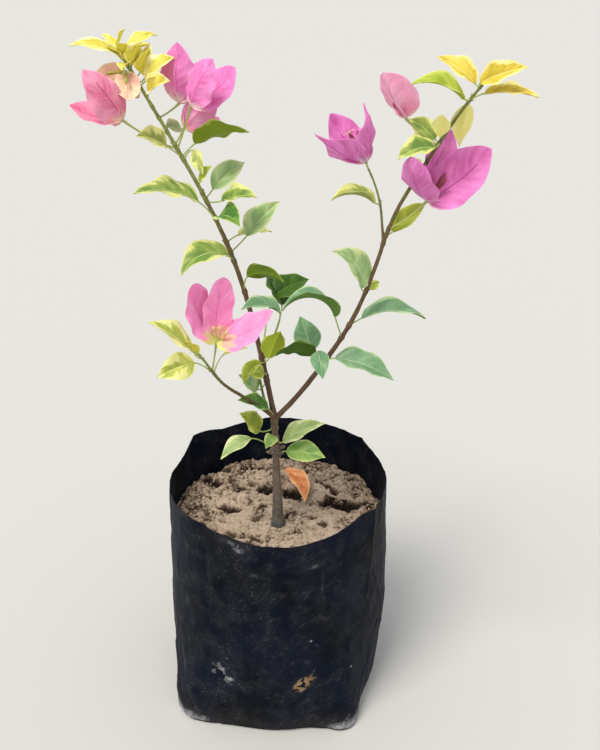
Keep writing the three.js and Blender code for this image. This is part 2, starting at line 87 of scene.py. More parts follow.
# Seeded value noise from -1 to 1 at points (..., 3)
def mottle(points, seed=0):
    cell = np.floor(points).astype(np.int64)
    part = points - cell
    part = part * part * (3 - 2 * part)
    total = 0
    for corner in range(8):
        step = np.array([corner & 1, corner >> 1 & 1, corner >> 2 & 1])
        mixed = (cell + step) @ np.array([374761393, 668265263, 1440662683]) + seed * 974634777
        mixed = (mixed ^ (mixed >> 13)) * 1274126177 & 0xFFFFFFFF
        value = ((mixed ^ (mixed >> 16)) & 0xFFFF) / 32767.5 - 1
        total = total + value * np.prod(np.where(step, part, 1 - part), axis=-1)
    return total


# Several octaves of it, each half the size and strength of the last
def roughen(points, size, seed=0, octaves=3):
    return sum(mottle(points / size * 2 ** k, seed + k) * 0.5 ** k for k in range(octaves))


# Faces of a grid of rows by columns of points, closed round when joined
def gridFaces(rows, cols, joined=False, start=0, turned=False):
    wide = cols if joined else cols - 1
    i, k = np.meshgrid(np.arange(rows - 1), np.arange(wide), indexing="ij")
    here, right = i * cols + k, i * cols + (k + 1) % cols
    quads = np.stack([here, right, right + cols, here + cols], -1).reshape(-1, 4) + start
    return quads[:, ::-1] if turned else quads


# Rings of points (rings, points, 3) made into one skin, with a middle point for the cap at each end
def cappedRings(rings, ends):
    count, wide = rings.shape[:2]
    faces = gridFaces(count, wide, joined=True).tolist()
    first, last = count * wide, (count - 1) * wide
    faces += [[first, (k + 1) % wide, k] for k in range(wide)]
    faces += [[first + 1, last + k, last + (k + 1) % wide] for k in range(wide)]
    return np.concatenate([rings.reshape(-1, 3), ends]), faces


# Directions round a line, from its across direction towards its other one
def spokes(turns, across, other):
    return np.cos(turns)[:, None] * across + np.sin(turns)[:, None] * other


# Tube through points (n, 3) with a radius for each point and side (n, sides), both ends capped
def tube(points, radii, sides, side=(1, 0, 0)):
    points = np.asarray(points, float)
    radii = np.broadcast_to(np.asarray(radii, float).reshape(len(points), -1), (len(points), sides))
    across = np.array(side, float)
    turns = turnsRound(sides)
    rings = []
    for point, ahead, radius in zip(points, np.gradient(points, axis=0), radii):
        ahead = unit(ahead)
        across = unit(across - across @ ahead * ahead)
        other = np.cross(ahead, across)
        rings.append(point + radius[:, None] * spokes(turns, across, other))
    last = (len(points) - 1) * sides
    caps = [list(range(sides))[::-1], [last + k for k in range(sides)]]
    return np.concatenate(rings), gridFaces(len(points), sides, joined=True).tolist() + caps


# Gathers corners, faces and the material of each face for one piece
def newSheaf():
    return {"corners": [], "faces": [], "slots": [], "count": 0}


def addTo(sheaf, corners, faces, slots):
    sheaf["corners"].append(np.asarray(corners, float))
    sheaf["faces"] += [[c + sheaf["count"] for c in face] for face in faces]
    sheaf["slots"] += [slots] * len(faces) if isinstance(slots, str) else list(slots)
    sheaf["count"] += len(corners)


def placeObject(name, data, place=(0, 0, 0), turn=(0, 0, 0)):
    body = bpy.data.objects.new(name, data)
    body.location, body.rotation_euler = Vector(place) * mm, turn
    bpy.context.scene.collection.objects.link(body)
    return body


# Makes a piece of a sheaf. marks are named values at its corners, which a material reads.
def makePiece(name, sheaf, materials, replaced=(), marks=None, crease=50):
    mesh = bpy.data.meshes.new(name)
    mesh.from_pydata((np.concatenate(sheaf["corners"]) * mm).tolist(), [], sheaf["faces"])
    found = set(sheaf["slots"])
    used = [key for key in materials if key in found]
    for key in used:
        mesh.materials.append(materials[key])
    order = {key: i for i, key in enumerate(used)}
    mesh.polygons.foreach_set("material_index", [order[key] for key in sheaf["slots"]])
    mesh.polygons.foreach_set("use_smooth", [True] * len(mesh.polygons))
    mesh.set_sharp_from_angle(angle=radians(crease))
    for key, values in (marks or {}).items():
        mesh.attributes.new(key, "FLOAT", "POINT").data.foreach_set("value", np.asarray(values, np.float32))
    mesh.update()
    piece = placeObject(name, mesh)
    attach(piece, "root")
    if replaced:
        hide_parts(*replaced)


# Small tools for materials

def linear(hexValue):
    parts = [int(hexValue[i:i + 2], 16) / 255 for i in (0, 2, 4)]
    return (*(p / 12.92 if p <= 0.04045 else ((p + 0.055) / 1.055) ** 2.4 for p in parts), 1)


# Linear colour part of the way from one hex tone to another
def between(first, last, share):
    return tuple(a + (b - a) * share for a, b in zip(linear(first), linear(last)))


# Even shades from one hex tone to another
def shadesOf(first, last, count):
    return {f"shade{n}": between(first, last, n / (count - 1)) for n in range(count)}


def newMaterial(name):
    material = bpy.data.materials.new(name)
    material.use_nodes = True
    return material, material.node_tree, material.node_tree.nodes["Principled BSDF"]


# Adds a node, or takes one that is there, and gives it its settings and a ramp's stops. A setting that is
# another node's output is linked. It hands back the output that is asked for, or else the first one in use.
def addNode(tree, kind, settings, out=None, stops=()):
    node = tree.nodes.new("ShaderNode" + kind) if isinstance(kind, str) else kind
    for key, value in settings.items():
        if isinstance(value, bpy.types.NodeSocket):
            tree.links.new(value, node.inputs[key])
        elif isinstance(key, int) or key in node.inputs:
            node.inputs[key].default_value = value
        else:
            setattr(node, key, value)
    if stops:
        ramp = node.color_ramp.elements
        while len(ramp) < len(stops):
            ramp.new(0.5)
        for element, (place, colour) in zip(ramp, stops):
            element.position, element.color = place, linear(colour)
    return node.outputs[out] if out else next((socket for socket in node.outputs if socket.enabled), None)


# A soft plant skin: one plain colour, light that soaks in, and a texture that dents the surface by
# (strength, depth). mottled lets the texture also shade the colour, from its first value to its second.
def softSkin(name, colour, texture, settings, dent, finish, mottled=None):
    material, tree, shader = newMaterial(name)
    spot = addNode(tree, "TexCoord", {}, "Object")
    grain = addNode(tree, texture, settings | {"Vector": spot})
    bump = addNode(tree, "Bump", {"Strength": dent[0], "Distance": dent[1] * mm, "Height": grain})
    if mottled:
        shade = addNode(tree, "MapRange", {"From Min": 0.3, "From Max": 0.7, "To Min": mottled[0],
                                           "To Max": mottled[1], "Value": grain})
        colour = addNode(tree, "HueSaturation", {"Color": colour, "Value": shade})
    addNode(tree, shader, finish | {"Base Color": colour, "Normal": bump})
    return material


# Camera and light

camera = {"eye": (16.6, -552.1, 546.1), "lookDown": 27.2, "focalPixels": 880, "imageHeight": 750,
          "sensor": 36, "clipNear": 10}


def placeCamera():
    lens = bpy.data.cameras.new("photoCamera")
    lens.sensor_width = camera["sensor"]
    lens.lens = camera["focalPixels"] / camera["imageHeight"] * camera["sensor"]
    lens.clip_start = camera["clipNear"] * mm
    turn = (radians(90 - camera["lookDown"]), 0, 0)
    bpy.context.scene.camera = placeObject("photoCamera", lens, camera["eye"], turn)


studio = {
    "horizon": "f4f4f2", "zenith": "f6f9ff", "zenithFrom": 0.9, "skyStrength": 0.84,     # an overcast sky
    "sunFrom": (-420, -480, 1150), "sunStrength": 2.5, "sunSpread": 26, "sunColour": "fffaf2",
    "floor": "c4c3bf", "floorReach": 40000,
}


def lightStudio():
    lamp = bpy.data.lights.new("softSun", "SUN")
    lamp.energy, lamp.angle = studio["sunStrength"], radians(studio["sunSpread"])
    lamp.color = linear(studio["sunColour"])[:3]
    aim = (-Vector(studio["sunFrom"])).to_track_quat("-Z", "Y").to_euler()
    placeObject("softSun", lamp, studio["sunFrom"], aim)
    world = bpy.data.worlds.new("overcastSky")
    bpy.context.scene.world = world
    world.use_nodes = True
    tree = world.node_tree
    way = addNode(tree, "TexCoord", {}, "Generated")
    height = addNode(tree, "SeparateXYZ", {"Vector": way}, "Z")
    shade = addNode(tree, "ValToRGB", {"Fac": height},
                    stops=[(0.0, studio["horizon"]), (studio["zenithFrom"], studio["zenith"])])
    addNode(tree, tree.nodes["Background"], {"Strength": studio["skyStrength"], "Color": shade})
    reach = studio["floorReach"] * mm
    mesh = bpy.data.meshes.new("studioFloor")
    corners = [(x * reach, y * reach, 0) for x, y in ((-1, -1), (1, -1), (1, 1), (-1, 1))]
    mesh.from_pydata(corners, [], [(0, 1, 2, 3)])
    paper, tree, shader = newMaterial("mattPaperBackdrop")
    addNode(tree, shader, {"Base Color": linear(studio["floor"]), "Roughness": 0.95,
                           "Specular IOR Level": 0.1})
    mesh.materials.append(paper)
    floor = placeObject("studioFloor", mesh)
    bpy.context.scene.view_settings.view_transform = "Standard"


placeCamera()
lightStudio()
print("camera and light are set")


# The limbs. Each starts where it says, or on another limb at millimetres from that one's foot, and bends
# evenly through its rises and compass directions. thick is its diameter and young how green it is, both
# from foot to tip.
soilTop = 143
stemSpot = (0, -13.5)
limbs = {
    "main_stem": {"start": (*stemSpot, soilTop + 0.3), "length": 94, "thick": (7.9, 6.9, 5.8, 4.4, 4.3),
                  "young": (0.02, 0.22), "rise": (90, 89, 89, 88), "compass": (180, 180)},
    "left_bough": {"on": "main_stem", "at": 93.7, "length": 254, "thick": (3.9, 1.9), "young": (0.3, 0.95),
                   "rise": (78, 76.5, 76, 70, 63, 58, 57, 57),
                   "compass": (142, 148, 154, 158, 160, 158, 158, 157)},
    "right_bough": {"on": "main_stem", "at": 91, "length": 269, "thick": (3.8, 1.5), "young": (0.3, 0.78),
                    "rise": (48, 56, 60, 70, 75, 61, 60, 52),
                    "compass": (-8, -11, -12, -22, -27, -23, -24, -35)},
    "side_shoot": {"on": "main_stem", "at": 92, "length": 106, "thick": (2.7, 1.4), "young": (0.28, 0.95),
                   "rise": (50, 44, 42, 43, 54, 52, 42),
                   "compass": (-140, -135, -136, -138, -124, -112, -103)},
    "inner_shoot": {"on": "main_stem", "at": 89, "length": 44, "thick": (2.4, 1.6), "young": (0.5, 0.9),
                    "rise": (62, 78, 84), "compass": (200, 165, 130)},
    "flower_twig": {"on": "right_bough", "at": 155, "length": 48, "thick": (1.7, 1.2), "young": (0.6, 0.85),
                    "rise": (70, 80, 72, 62), "compass": (100, 120, 175, 190)},
}
walkStep = 4


# Point on a limb's centre line, in millimetres from its foot
def placeOn(name, at):
    limb = limbs[name]
    return np.stack([np.interp(at, limb["places"], limb["points"][:, k]) for k in range(3)], -1)


def limbRadius(name, at):
    return along(limbs[name]["thick"], np.asarray(at) / limbs[name]["length"]) / 2


for limb in limbs.values():
    foot = placeOn(limb["on"], limb["at"]) if "on" in limb else np.array(limb["start"], float)
    count = round(limb["length"] / walkStep)
    middles = (np.arange(count) + 0.5) / count
    aheads = heading(along(limb["rise"], middles), along(limb["compass"], middles))
    limb["points"] = foot + np.cumsum(np.vstack([np.zeros(3), aheads * limb["length"] / count]), axis=0)
    limb["places"] = np.linspace(0, limb["length"], count + 1)


# Leaves. A leaf stands on its limb, at millimetres from the limb's foot. Its stalk is (length, rise,
# compass) and its blade (length, width, pitch, compass, roll, droop, fold). Then come its tone and how far
# in its cream edge reaches.
sprays = {
    "left_tip_leaves": ("left_bough", [
        (252, (9, 52, -136), (32, 13, 32, -160, -28, 40, 15), "young", 0.25),
        (254, (11, 51, 163), (16, 8, 39, 133, 0, 20, 15), "young", 0.1),
        (252, (4, 60, -100), (17, 12, 58, -100, 0, 25, 30), "young", 0.2),
        (249, (5, 50, -60), (19, 12, 62, -62, 20, 25, 30), "young", 0.3),
        (253, (4, 50, -150), (15, 10, 52, -140, -30, 30, 30), "young", 0.15),
        (244, (6, 40, -30), (18, 11, 66, -50, 30, 30, 30), "young", 0.3),
        (254, (3, 70, 60), (17, 11, 48, 20, 10, 40, 25), "young", 0.3),
        (250, (3, 55, -110), (15, 11, 20, -95, 10, 50, 25), "young", 0.15),
        (254, (11, 51, 154), (16, 8, 50, 68, -60, 20, 15), "young", 0.3),
        (250, (12, 59, 94), (25, 10, 52, 42, 25, 70, 15), "young", 0.08),
        (250, (7, 28, -69), (18, 11, 56, -47, -10, 10, 15), "young", 0.2),
    ]),
    "left_crown_leaves": ("left_bough", [
        (240, (7, 29, 53), (22, 12, 70, 73, -10, 20, 15), "young", 0.25),
        (238, (7, 36, -40), (26, 17, 47, -18, 50, 25, 25), "young", 0.35),
        (224, (10, 66, -105), (25, 16, 37, -43, 60, 30, 35), "young", 0.2),
        (206, (6, 26, 103), (22, 12, -10, 62, 50, 20, 15), "grey", 0.2),
    ]),
    "left_upper_leaves": ("left_bough", [
        (188, (13, 40, -151), (28, 17, 35, -128, -55, 25, 25), "pale", 0.4),
        (188, (13, 45, -19), (39, 23, 34, -15, -35, 40, 15), "olive", 0.12),
        (186, (12, 39, -40), (18, 10, -32, -59, 60, 30, 15), "pale", 0.4),
        (162, (10, 60, -103), (16, 9, 58, -35, 60, 20, 15), "lime", 0.2),
    ]),
    "left_middle_leaves": ("left_bough", [
        (158, (8, 40, 43), (30, 18, 42, 40, 45, 30, 30), "grey", 0.12),
        (144, (16, 50, -163), (44, 25, 37, -163, -15, 50, 15), "mixed", 0.36),
        (156, (10, 9, -17), (28, 17, 30, -26, 30, 35, 25), "mixed", 0.24),
        (144, (6, 17, -68), (28, 18, 38, -54, 25, 70, 25), "green", 0.15),
    ]),
    "left_lower_leaves": ("left_bough", [
        (120, (15, 44, 12), (32, 20, 48, 28, 40, 20, 35), "grey", 0.12),
        (127, (11, 16, 45), (26, 13, 10, 33, 10, 30, 15), "cream", 0.4),
        (114, (6, 46, -136), (40, 22, 38, -148, -22, 100, 20), "mixed", 0.14),
        (92, (13, 70, -60), (31, 15, 35, -32, -60, 60, 15), "moss", 0.08),
    ]),
    "inner_leaves": ("left_bough", [
        (40, (44, 70, -32), (30, 17, 44, -159, -15, 60, 25), "blue", 0.1),
        (40, (42, 65, 40), (27, 22, 58, 130, 20, 30, 15), "dark", 0.04),
        (44, (43, 70, 57), (29, 20, 30, 28, 30, 30, 15), "dark", 0.05),
        (40, (8, 43, -45), (26, 17, 70, -35, -45, 10, 15), "lime", 0.1),
        (40, (6, 29, -99), (22, 12, 8, -132, -5, 70, 30), "olive", 0.1),
        (30, (9, 44, -99), (16, 10, 27, -128, -70, 20, 15), "lime", 0.1),
        (27, (9, -36, -148), (22, 13, 57, -144, -65, 20, 15), "grey", 0.06),
    ]),
    "stem_leaves": ("main_stem", [
        (92, (12, 58, -128), (27, 15, 40, -152, -30, 20, 25), "green", 0.06),
        (84, (12, 4, -150), (25, 16, 61, -145, -60, 20, 15), "olive", 0.2),
        (76, (8, 37, -92), (16, 10, 15, -110, -20, 40, 15), "light", 0.12),
        (66, (21, 34, -167), (27, 15, -4, -150, -5, 40, 20), "frost", 0.22),
        (74, (6, -8, -21), (36, 16, 47, -8, 32, 30, 20), "frost", 0.16),
        (64, (9, 18, -27), (29, 18, 13, -16, 30, 30, 10), "light", 0.06),
    ]),
    "right_lower_leaves": ("right_bough", [
        (54, (11, 64, -139), (32, 16, 44, -156, 55, 60, 15), "dark", 0.1),
        (56, (12, 53, 155), (25, 19, 66, 135, -40, 10, 10), "blue", 0.0),
        (54, (17, 68, -105), (21, 13, -23, -79, 15, 30, 15), "blue", 0.0),
        (58, (10, 36, -23), (43, 23, 1, -14, 15, 34, 20), "blue", 0.03),
    ]),
    "right_middle_leaves": ("right_bough", [
        (92, (10, 26, 20), (46, 22, 26, 10, 5, 60, 20), "blue", 0.12),
        (82, (17, 71, -144), (47, 19, 78, -167, 10, 130, 30), "blue", 0.05),
        (120, (4, 3, 68), (14, 7, 11, 52, 60, 20, 15), "lime", 0.2),
    ]),
    "right_bend_leaves": ("right_bough", [
        (120, (5, 35, -140), (36, 19, 98, -172, -55, 90, 25), "grey", 0.14),
    ]),
    "right_upper_leaves": ("right_bough", [
        (161, (5, 6, 41), (32, 14, 34, 38, 35, 20, 30), "olive", 0.04),
    ]),
    "right_crown_leaves": ("right_bough", [
        (227, (5, -25, -131), (24, 16, 12, -165, -30, 50, 20), "mixed", 0.25),
        (227, (4, 10, 125), (20, 13, 46, 150, -60, 30, 20), "mixed", 0.22),
        # The brightened young tone on this leaf is painted light, as it hangs in shade
        (231, (4, 4, -133), (17, 11, 63, -93, -10, 10, 20), "tip", 0.35),
        (213, (5, -22, 121), (14, 8, -5, 133, -30, 20, 15), "lime", 0.2),
    ]),
    "right_tip_leaves": ("right_bough", [
        # The brightened young tone on this leaf is painted light, as it hangs in shade
        (255, (5, -24, 86), (26, 14, -70, 103, 0, 10, 15), "tip", 0.3),
        (257, (5, 4, -144), (34, 15, 46, -165, -26, 60, 28), "lime", 0.08),
        (265, (4, 20, 120), (27, 15, 43, 154, -30, 30, 24), "golden", 0.15),
        (266, (3, 42, -123), (27, 15, 31, -28, 55, 20, 24), "golden", 0.2),
        (255, (10, 32, -30), (30, 13, 14, -21, 20, 30, 20), "golden", 0.3),
    ]),
    "side_shoot_leaves": ("side_shoot", [
        (103, (7, 41, -143), (34, 20, 53, -156, -25, 20, 20), "cream", 0.32),
        (96, (6, 40, -140), (16, 9, 62, -130, 15, 10, 30), "young", 0.15),
        (74, (16, 38, -171), (27, 19, 4, -146, -55, 20, 20), "cream", 0.4),
        # The brightened young tone on this leaf is painted light, as it sits in the shade of the bracts above
        (76, (14, 51, 44), (16, 8, 22, 21, 5, 30, 15), "tip", 0.3),
    ]),
    "twig_leaves": ("flower_twig", [
        (24, (4, 20, -150), (30, 14, 46, -172, -10, 80, 40), "pale", 0.42),
    ]),
}

# Bougainvillea leaf, a soft blade with a thin waxed skin. Light soaks in and comes out at its back, so the
# shaded halves glow olive, and the wax gives the upper faces a pale sheen. The blue, grey and frost tones partly
# hold that pale sheen as painted sheen, and the back tones' deep olive is partly painted shade. Colours by
# place: heart, second, edge, rib, back.
leafTones = {
    "young": ("ece274", "d4c840", "f4eeb4", "f0eaa0", "dcd252"),
    # tip is a brighter copy of young: painted light for young leaves that hang in shade
    "tip": ("e8e496", "dcd87c", "f2eeb0", "f0eaa0", "eee88c"),
    "golden": ("e2ca50", "c8b436", "f0e290", "eedb8e", "ccb030"),
    "cream": ("a8b450", "ced46c", "e6e69c", "e0e29a", "b4bc54"),
    "lime": ("98ac32", "bcc84c", "d8dc7c", "cfd884", "a0b02c"),
    "pale": ("8ca04e", "b9bf66", "d8da8c", "cfd08c", "949e4a"),
    "mixed": ("6c8c3c", "a4b45c", "d2d484", "b6c47c", "7f9434"),
    "light": ("72984a", "9cb862", "cad48c", "b4c880", "7a9638"),
    "frost": ("93aa68", "b2c280", "d6dca6", "c6d09a", "94a860"),
    "green": ("4a782a", "769c46", "b8c878", "9ab868", "587c1c"),
    "blue": ("6c946a", "8cac84", "b4c894", "a2c08c", "5c8034"),
    "grey": ("90b073", "b8c892", "ccd49c", "c2d09c", "82a04e"),
    "olive": ("84942a", "a4ac40", "bcc060", "a8b04c", "7c901a"),
    "moss": ("586e14", "788c2c", "a4ac4a", "8c9c3c", "60780e"),
    "dark": ("2c5008", "456c14", "6e8c34", "5c7c2c", "3c5e06"),
    "stalk": ("a3b464", "98aa58", "a3b464", "a3b464", "a3b464"),
}
leafSkin = {"roughness": 0.46, "backMatt": 0.14, "shine": 0.38, "glow": 0.4, "soakDepth": 0.5,
            "skinBump": 0.35, "skinCell": 0.7, "shades": 6}


# Heart to second tone in even shades, then the cream edge and its fringe, the midrib and the back
def leafColours(heart, second, edge, rib, back):
    return shadesOf(heart, second, leafSkin["shades"]) | {
        "fringe": between(second, edge, 0.45), "edge": linear(edge), "rib": linear(rib),
        "back": linear(back), "backEdge": between(back, edge, 0.55)}


def makeLeafMaterials():
    made = {}
    # Skin cells are far finer than a pixel, so the grain is drawn 0.7 mm wide
    grain = {"Scale": 1 / (leafSkin["skinCell"] * mm), "Detail": 2.0}
    dent = (leafSkin["skinBump"], 0.1)
    finish = {"IOR": 1.45, "Specular IOR Level": leafSkin["shine"], "Subsurface Weight": leafSkin["glow"],
              "Subsurface Radius": (0.9, 1.0, 0.25), "Subsurface Scale": leafSkin["soakDepth"] * mm}
    for kind, tones in leafTones.items():
        for place, colour in leafColours(*tones).items():
            matt = leafSkin["roughness"] + leafSkin["backMatt"] * place.startswith("back")
            made[f"{kind}_{place}"] = softSkin(f"bougainvilleaLeaf_{kind}_{place}", colour, "TexNoise",
                                               grain, dent, finish | {"Roughness": matt})
    return made


# ribRound softens the fold over the midrib. curl, lag and wave shape the edges. veinStretch, veinSlant and
# veinBow lay out the side veins, and fullness, shoulder and tipPinch give the outline.
leafMesh = {"rows": 42, "columns": 28, "thick": 0.36, "fullness": 0.74, "shoulder": 0.95, "tipPinch": 0.16,
            "leastHalf": 0.12, "sway": 7, "twist": 7, "ribRound": 0.05, "arch": 0.24, "wave": 0.13, "curl": 3,
            "lag": 2.1, "veins": 6, "veinStretch": 1.1, "veinSlant": 0.26, "veinBow": 1.2, "veinWidth": 0.16,
            "veinDepth": 0.24, "ribWidth": 0.6, "ribFade": 0.6, "ribDepth": 0.4, "ribSwell": 0.5,
            "stalkThick": 1.1, "stalkSides": 9, "crowd": 1.25}


# Places across a blade from -1 to 1, closer together by the midrib so that it shows as a fine line
def acrossBlade(columns):
    s = np.linspace(-1, 1, columns + 1)
    return np.sign(s) * np.abs(s) ** leafMesh["crowd"]


# Across and face directions of a blade that runs ahead and is rolled about that line
def bladeFrame(aheads, compass, roll):
    compass = np.radians(np.broadcast_to(compass, len(aheads)))
    level = np.stack([np.sin(compass), -np.cos(compass), 0 * compass], -1)
    above = np.cross(level, aheads)
    roll = np.radians(np.broadcast_to(roll, len(aheads)))[:, None]
    return level * np.cos(roll) - above * np.sin(roll), above * np.cos(roll) + level * np.sin(roll)


# Distance from the midrib, wave of the edges, side veins and line of the midrib, over a blade with t from
# foot to tip, u from edge to edge and its half width there
def bladeRelief(t, u, half, m, turns, phase, firstVein):
    far = np.abs(u)
    side = np.sqrt(u ** 2 + m["ribRound"] ** 2) - m["ribRound"]
    wave = np.sin(2 * pi * turns * t + phase + np.where(u > 0, m["lag"], 0)) * far ** m["curl"]
    veinPlace = (t * m["veinStretch"] - m["veinSlant"] * far ** m["veinBow"]) * m["veins"] + firstVein
    vein = bell((veinPlace % 1) - 0.5, m["veinWidth"]) * ease(0, 0.1, far)
    return side, wave, vein, bell(u * half, m["ribWidth"]) * (1 - m["ribFade"] * t)


# A blade as a closed thin solid: a grid over its upper face, one over its lower face, and a shared edge.
# out and up are how far each place of it stands across and off the line of the rib.
def closedBlade(rib, across, face, out, up, thick, swell):
    sheet = rib[:, None] + across[:, None] * out[..., None] + face[:, None] * up[..., None]
    rows, cols = sheet.shape[:2]
    upper = sheet + face[:, None] * thick / 2
    lower = sheet - face[:, None] * (thick / 2 + swell)[..., None]
    inside = np.zeros((rows, cols), bool)
    inside[1:-1, 1:-1] = True
    under = np.arange(rows * cols)
    under[inside.reshape(-1)] = rows * cols + np.arange(inside.sum())
    quads = gridFaces(rows, cols)
    corners = np.concatenate([upper.reshape(-1, 3), lower[inside]])
    return corners, np.concatenate([quads, under[quads][:, ::-1]]).tolist()


# Middle values of the cells of a grid
def cellMiddles(values):
    return (values[1:, 1:] + values[:-1, 1:] + values[1:, :-1] + values[:-1, :-1]) / 4


# Picks a shade's name for each cell, from 0, the first, to 1, the last, with loose borders between the shades
def dealShades(tone, value, shades, draw):
    dealt = np.clip(np.floor(value * shades + draw.uniform(-0.45, 0.45, value.shape)), 0, shades - 1)
    return np.array([f"{tone}_shade{n}" for n in range(shades)])[dealt.astype(int)]


# How the cream edge and the green are laid out: how fast the tip counts as edge, the length and width of a
# streak in millimetres, how ragged the cream is, and what makes the green paler
leafPattern = {"tipReach": 2.2, "streakSlant": 0.24, "streak": (4.2, 9), "ragged": 1.5, "heart": 0.3,
               "patch": 0.75, "veinPale": 0.3, "creamPale": 0.55, "creamBlend": 0.2, "fringe": 0.07,
               "leastCream": 0.045, "ribWide": 0.05, "ribEnd": 0.86}


def addLeaf(sheaf, foot, stalk, blade, tone, cream, seed, bend=None):
    m, p = leafMesh, leafPattern
    length, width, pitch, compass, roll, droop, fold = blade
    draw = np.random.default_rng(seed)
    base = foot + heading(stalk[1], stalk[2]) * stalk[0]
    t = np.linspace(0, 1, m["rows"] + 1)
    middles = (t[1:] + t[:-1]) / 2
    bend = draw.uniform(-m["sway"], m["sway"]) if bend is None else bend
    steps = heading(pitch - droop * middles, compass + bend * middles) * length / m["rows"]
    rib = base + np.vstack([np.zeros(3), np.cumsum(steps, axis=0)])
    twist = draw.uniform(-m["twist"], m["twist"])
    turned = compass + bend * t
    across, face = bladeFrame(heading(pitch - droop * t, turned), turned, roll + twist * (t - 0.3))
    outline = np.sin(pi * t ** m["fullness"]) ** m["shoulder"] / 2 * (1 - m["tipPinch"] * ease(0.72, 1, t))
    half = np.maximum(width * outline, m["leastHalf"])[:, None]
    u, t = acrossBlade(m["columns"]), t[:, None]
    turns, phase, firstVein = draw.uniform(1.4, 2.6), draw.uniform(0, 2 * pi), draw.uniform(0, 0.3)
    side, wave, vein, ribLine = bladeRelief(t, u, half, m, turns, phase, firstVein)
    vein = vein * (1 - np.abs(u)) ** 0.4
    lift = side * sin(radians(fold)) + m["arch"] * side * (1 - side) + m["wave"] * wave
    dent = m["veinDepth"] * vein + m["ribDepth"] * ribLine
    out, up = u * cos(radians(fold)) * half, lift * half - dent
    corners, faces = closedBlade(rib, across, face, out, up, m["thick"], m["ribSwell"] * ribLine)
    # The cream edge runs in between the side veins. Inside it the green is darkest in the heart, with loose
    # patches, and a little paler along the veins.
    tc, uc, hc = (cellMiddles(v * np.ones(ribLine.shape)) for v in (t, u, half))
    far = np.abs(uc)
    inward = np.minimum(1 - far, (1 - tc) * p["tipReach"])
    lengthwise = (tc - p["streakSlant"] * far ** 1.2) * length
    streaks = np.stack([lengthwise / p["streak"][0], uc * hc / p["streak"][1],
                        seed * 1.7 + (uc > 0) * 9.0], -1)
    patch = roughen(streaks * 0.8, 1, seed + 7, 2)
    reachIn = cream * (0.9 + p["ragged"] * roughen(streaks, 1, seed, 3))
    paler = p["heart"] + p["patch"] * patch + p["veinPale"] * cellMiddles(vein) \
        + p["creamPale"] * bell(inward - reachIn, p["creamBlend"]) * (cream > 0)
    upper = dealShades(tone, paler, leafSkin["shades"], draw)
    loose = draw.uniform(-0.03, 0.03, tc.shape)
    creamTo = np.maximum(reachIn + loose, p["leastCream"] * (cream > 0))
    upper = np.where(inward < reachIn + p["fringe"] + loose, f"{tone}_fringe", upper)
    upper = np.where(inward < creamTo, f"{tone}_edge", upper)
    upper = np.where((far < p["ribWide"]) & (tc < p["ribEnd"]), f"{tone}_rib", upper)
    lower = np.where(inward < reachIn, f"{tone}_backEdge", f"{tone}_back")
    addTo(sheaf, corners, faces, [*upper.reshape(-1), *lower.reshape(-1)])
    # The stalk leaves the limb and curves over into the midrib
    s = np.linspace(0, 1, 12)[:, None]
    into = heading(pitch, compass)
    control, end = base - into * min(4, stalk[0] * 0.4), base + into * 1.2 - face[1] * 0.3
    path = (1 - s) ** 2 * foot + 2 * s * (1 - s) * control + s ** 2 * end
    thickness = m["stalkThick"] / 2 * (0.8 + 0.45 * (1 - s[:, 0]) ** 6 + 0.12 * s[:, 0])
    addTo(sheaf, *tube(path, thickness * min(1, 0.6 + length / 70), m["stalkSides"]), "stalk_shade0")


leafMaterials = makeLeafMaterials()
for number, (node, (limbName, leaves)) in enumerate(sprays.items()):
    sheaf = newSheaf()
    for order, (at, stalk, blade, tone, cream) in enumerate(leaves):
        addLeaf(sheaf, placeOn(limbName, at), stalk, blade, tone, cream, 100 * number + order + 1)
    makePiece(node.replace("leaves", "foliage"), sheaf, leafMaterials, [node])
print("leaves are grown")


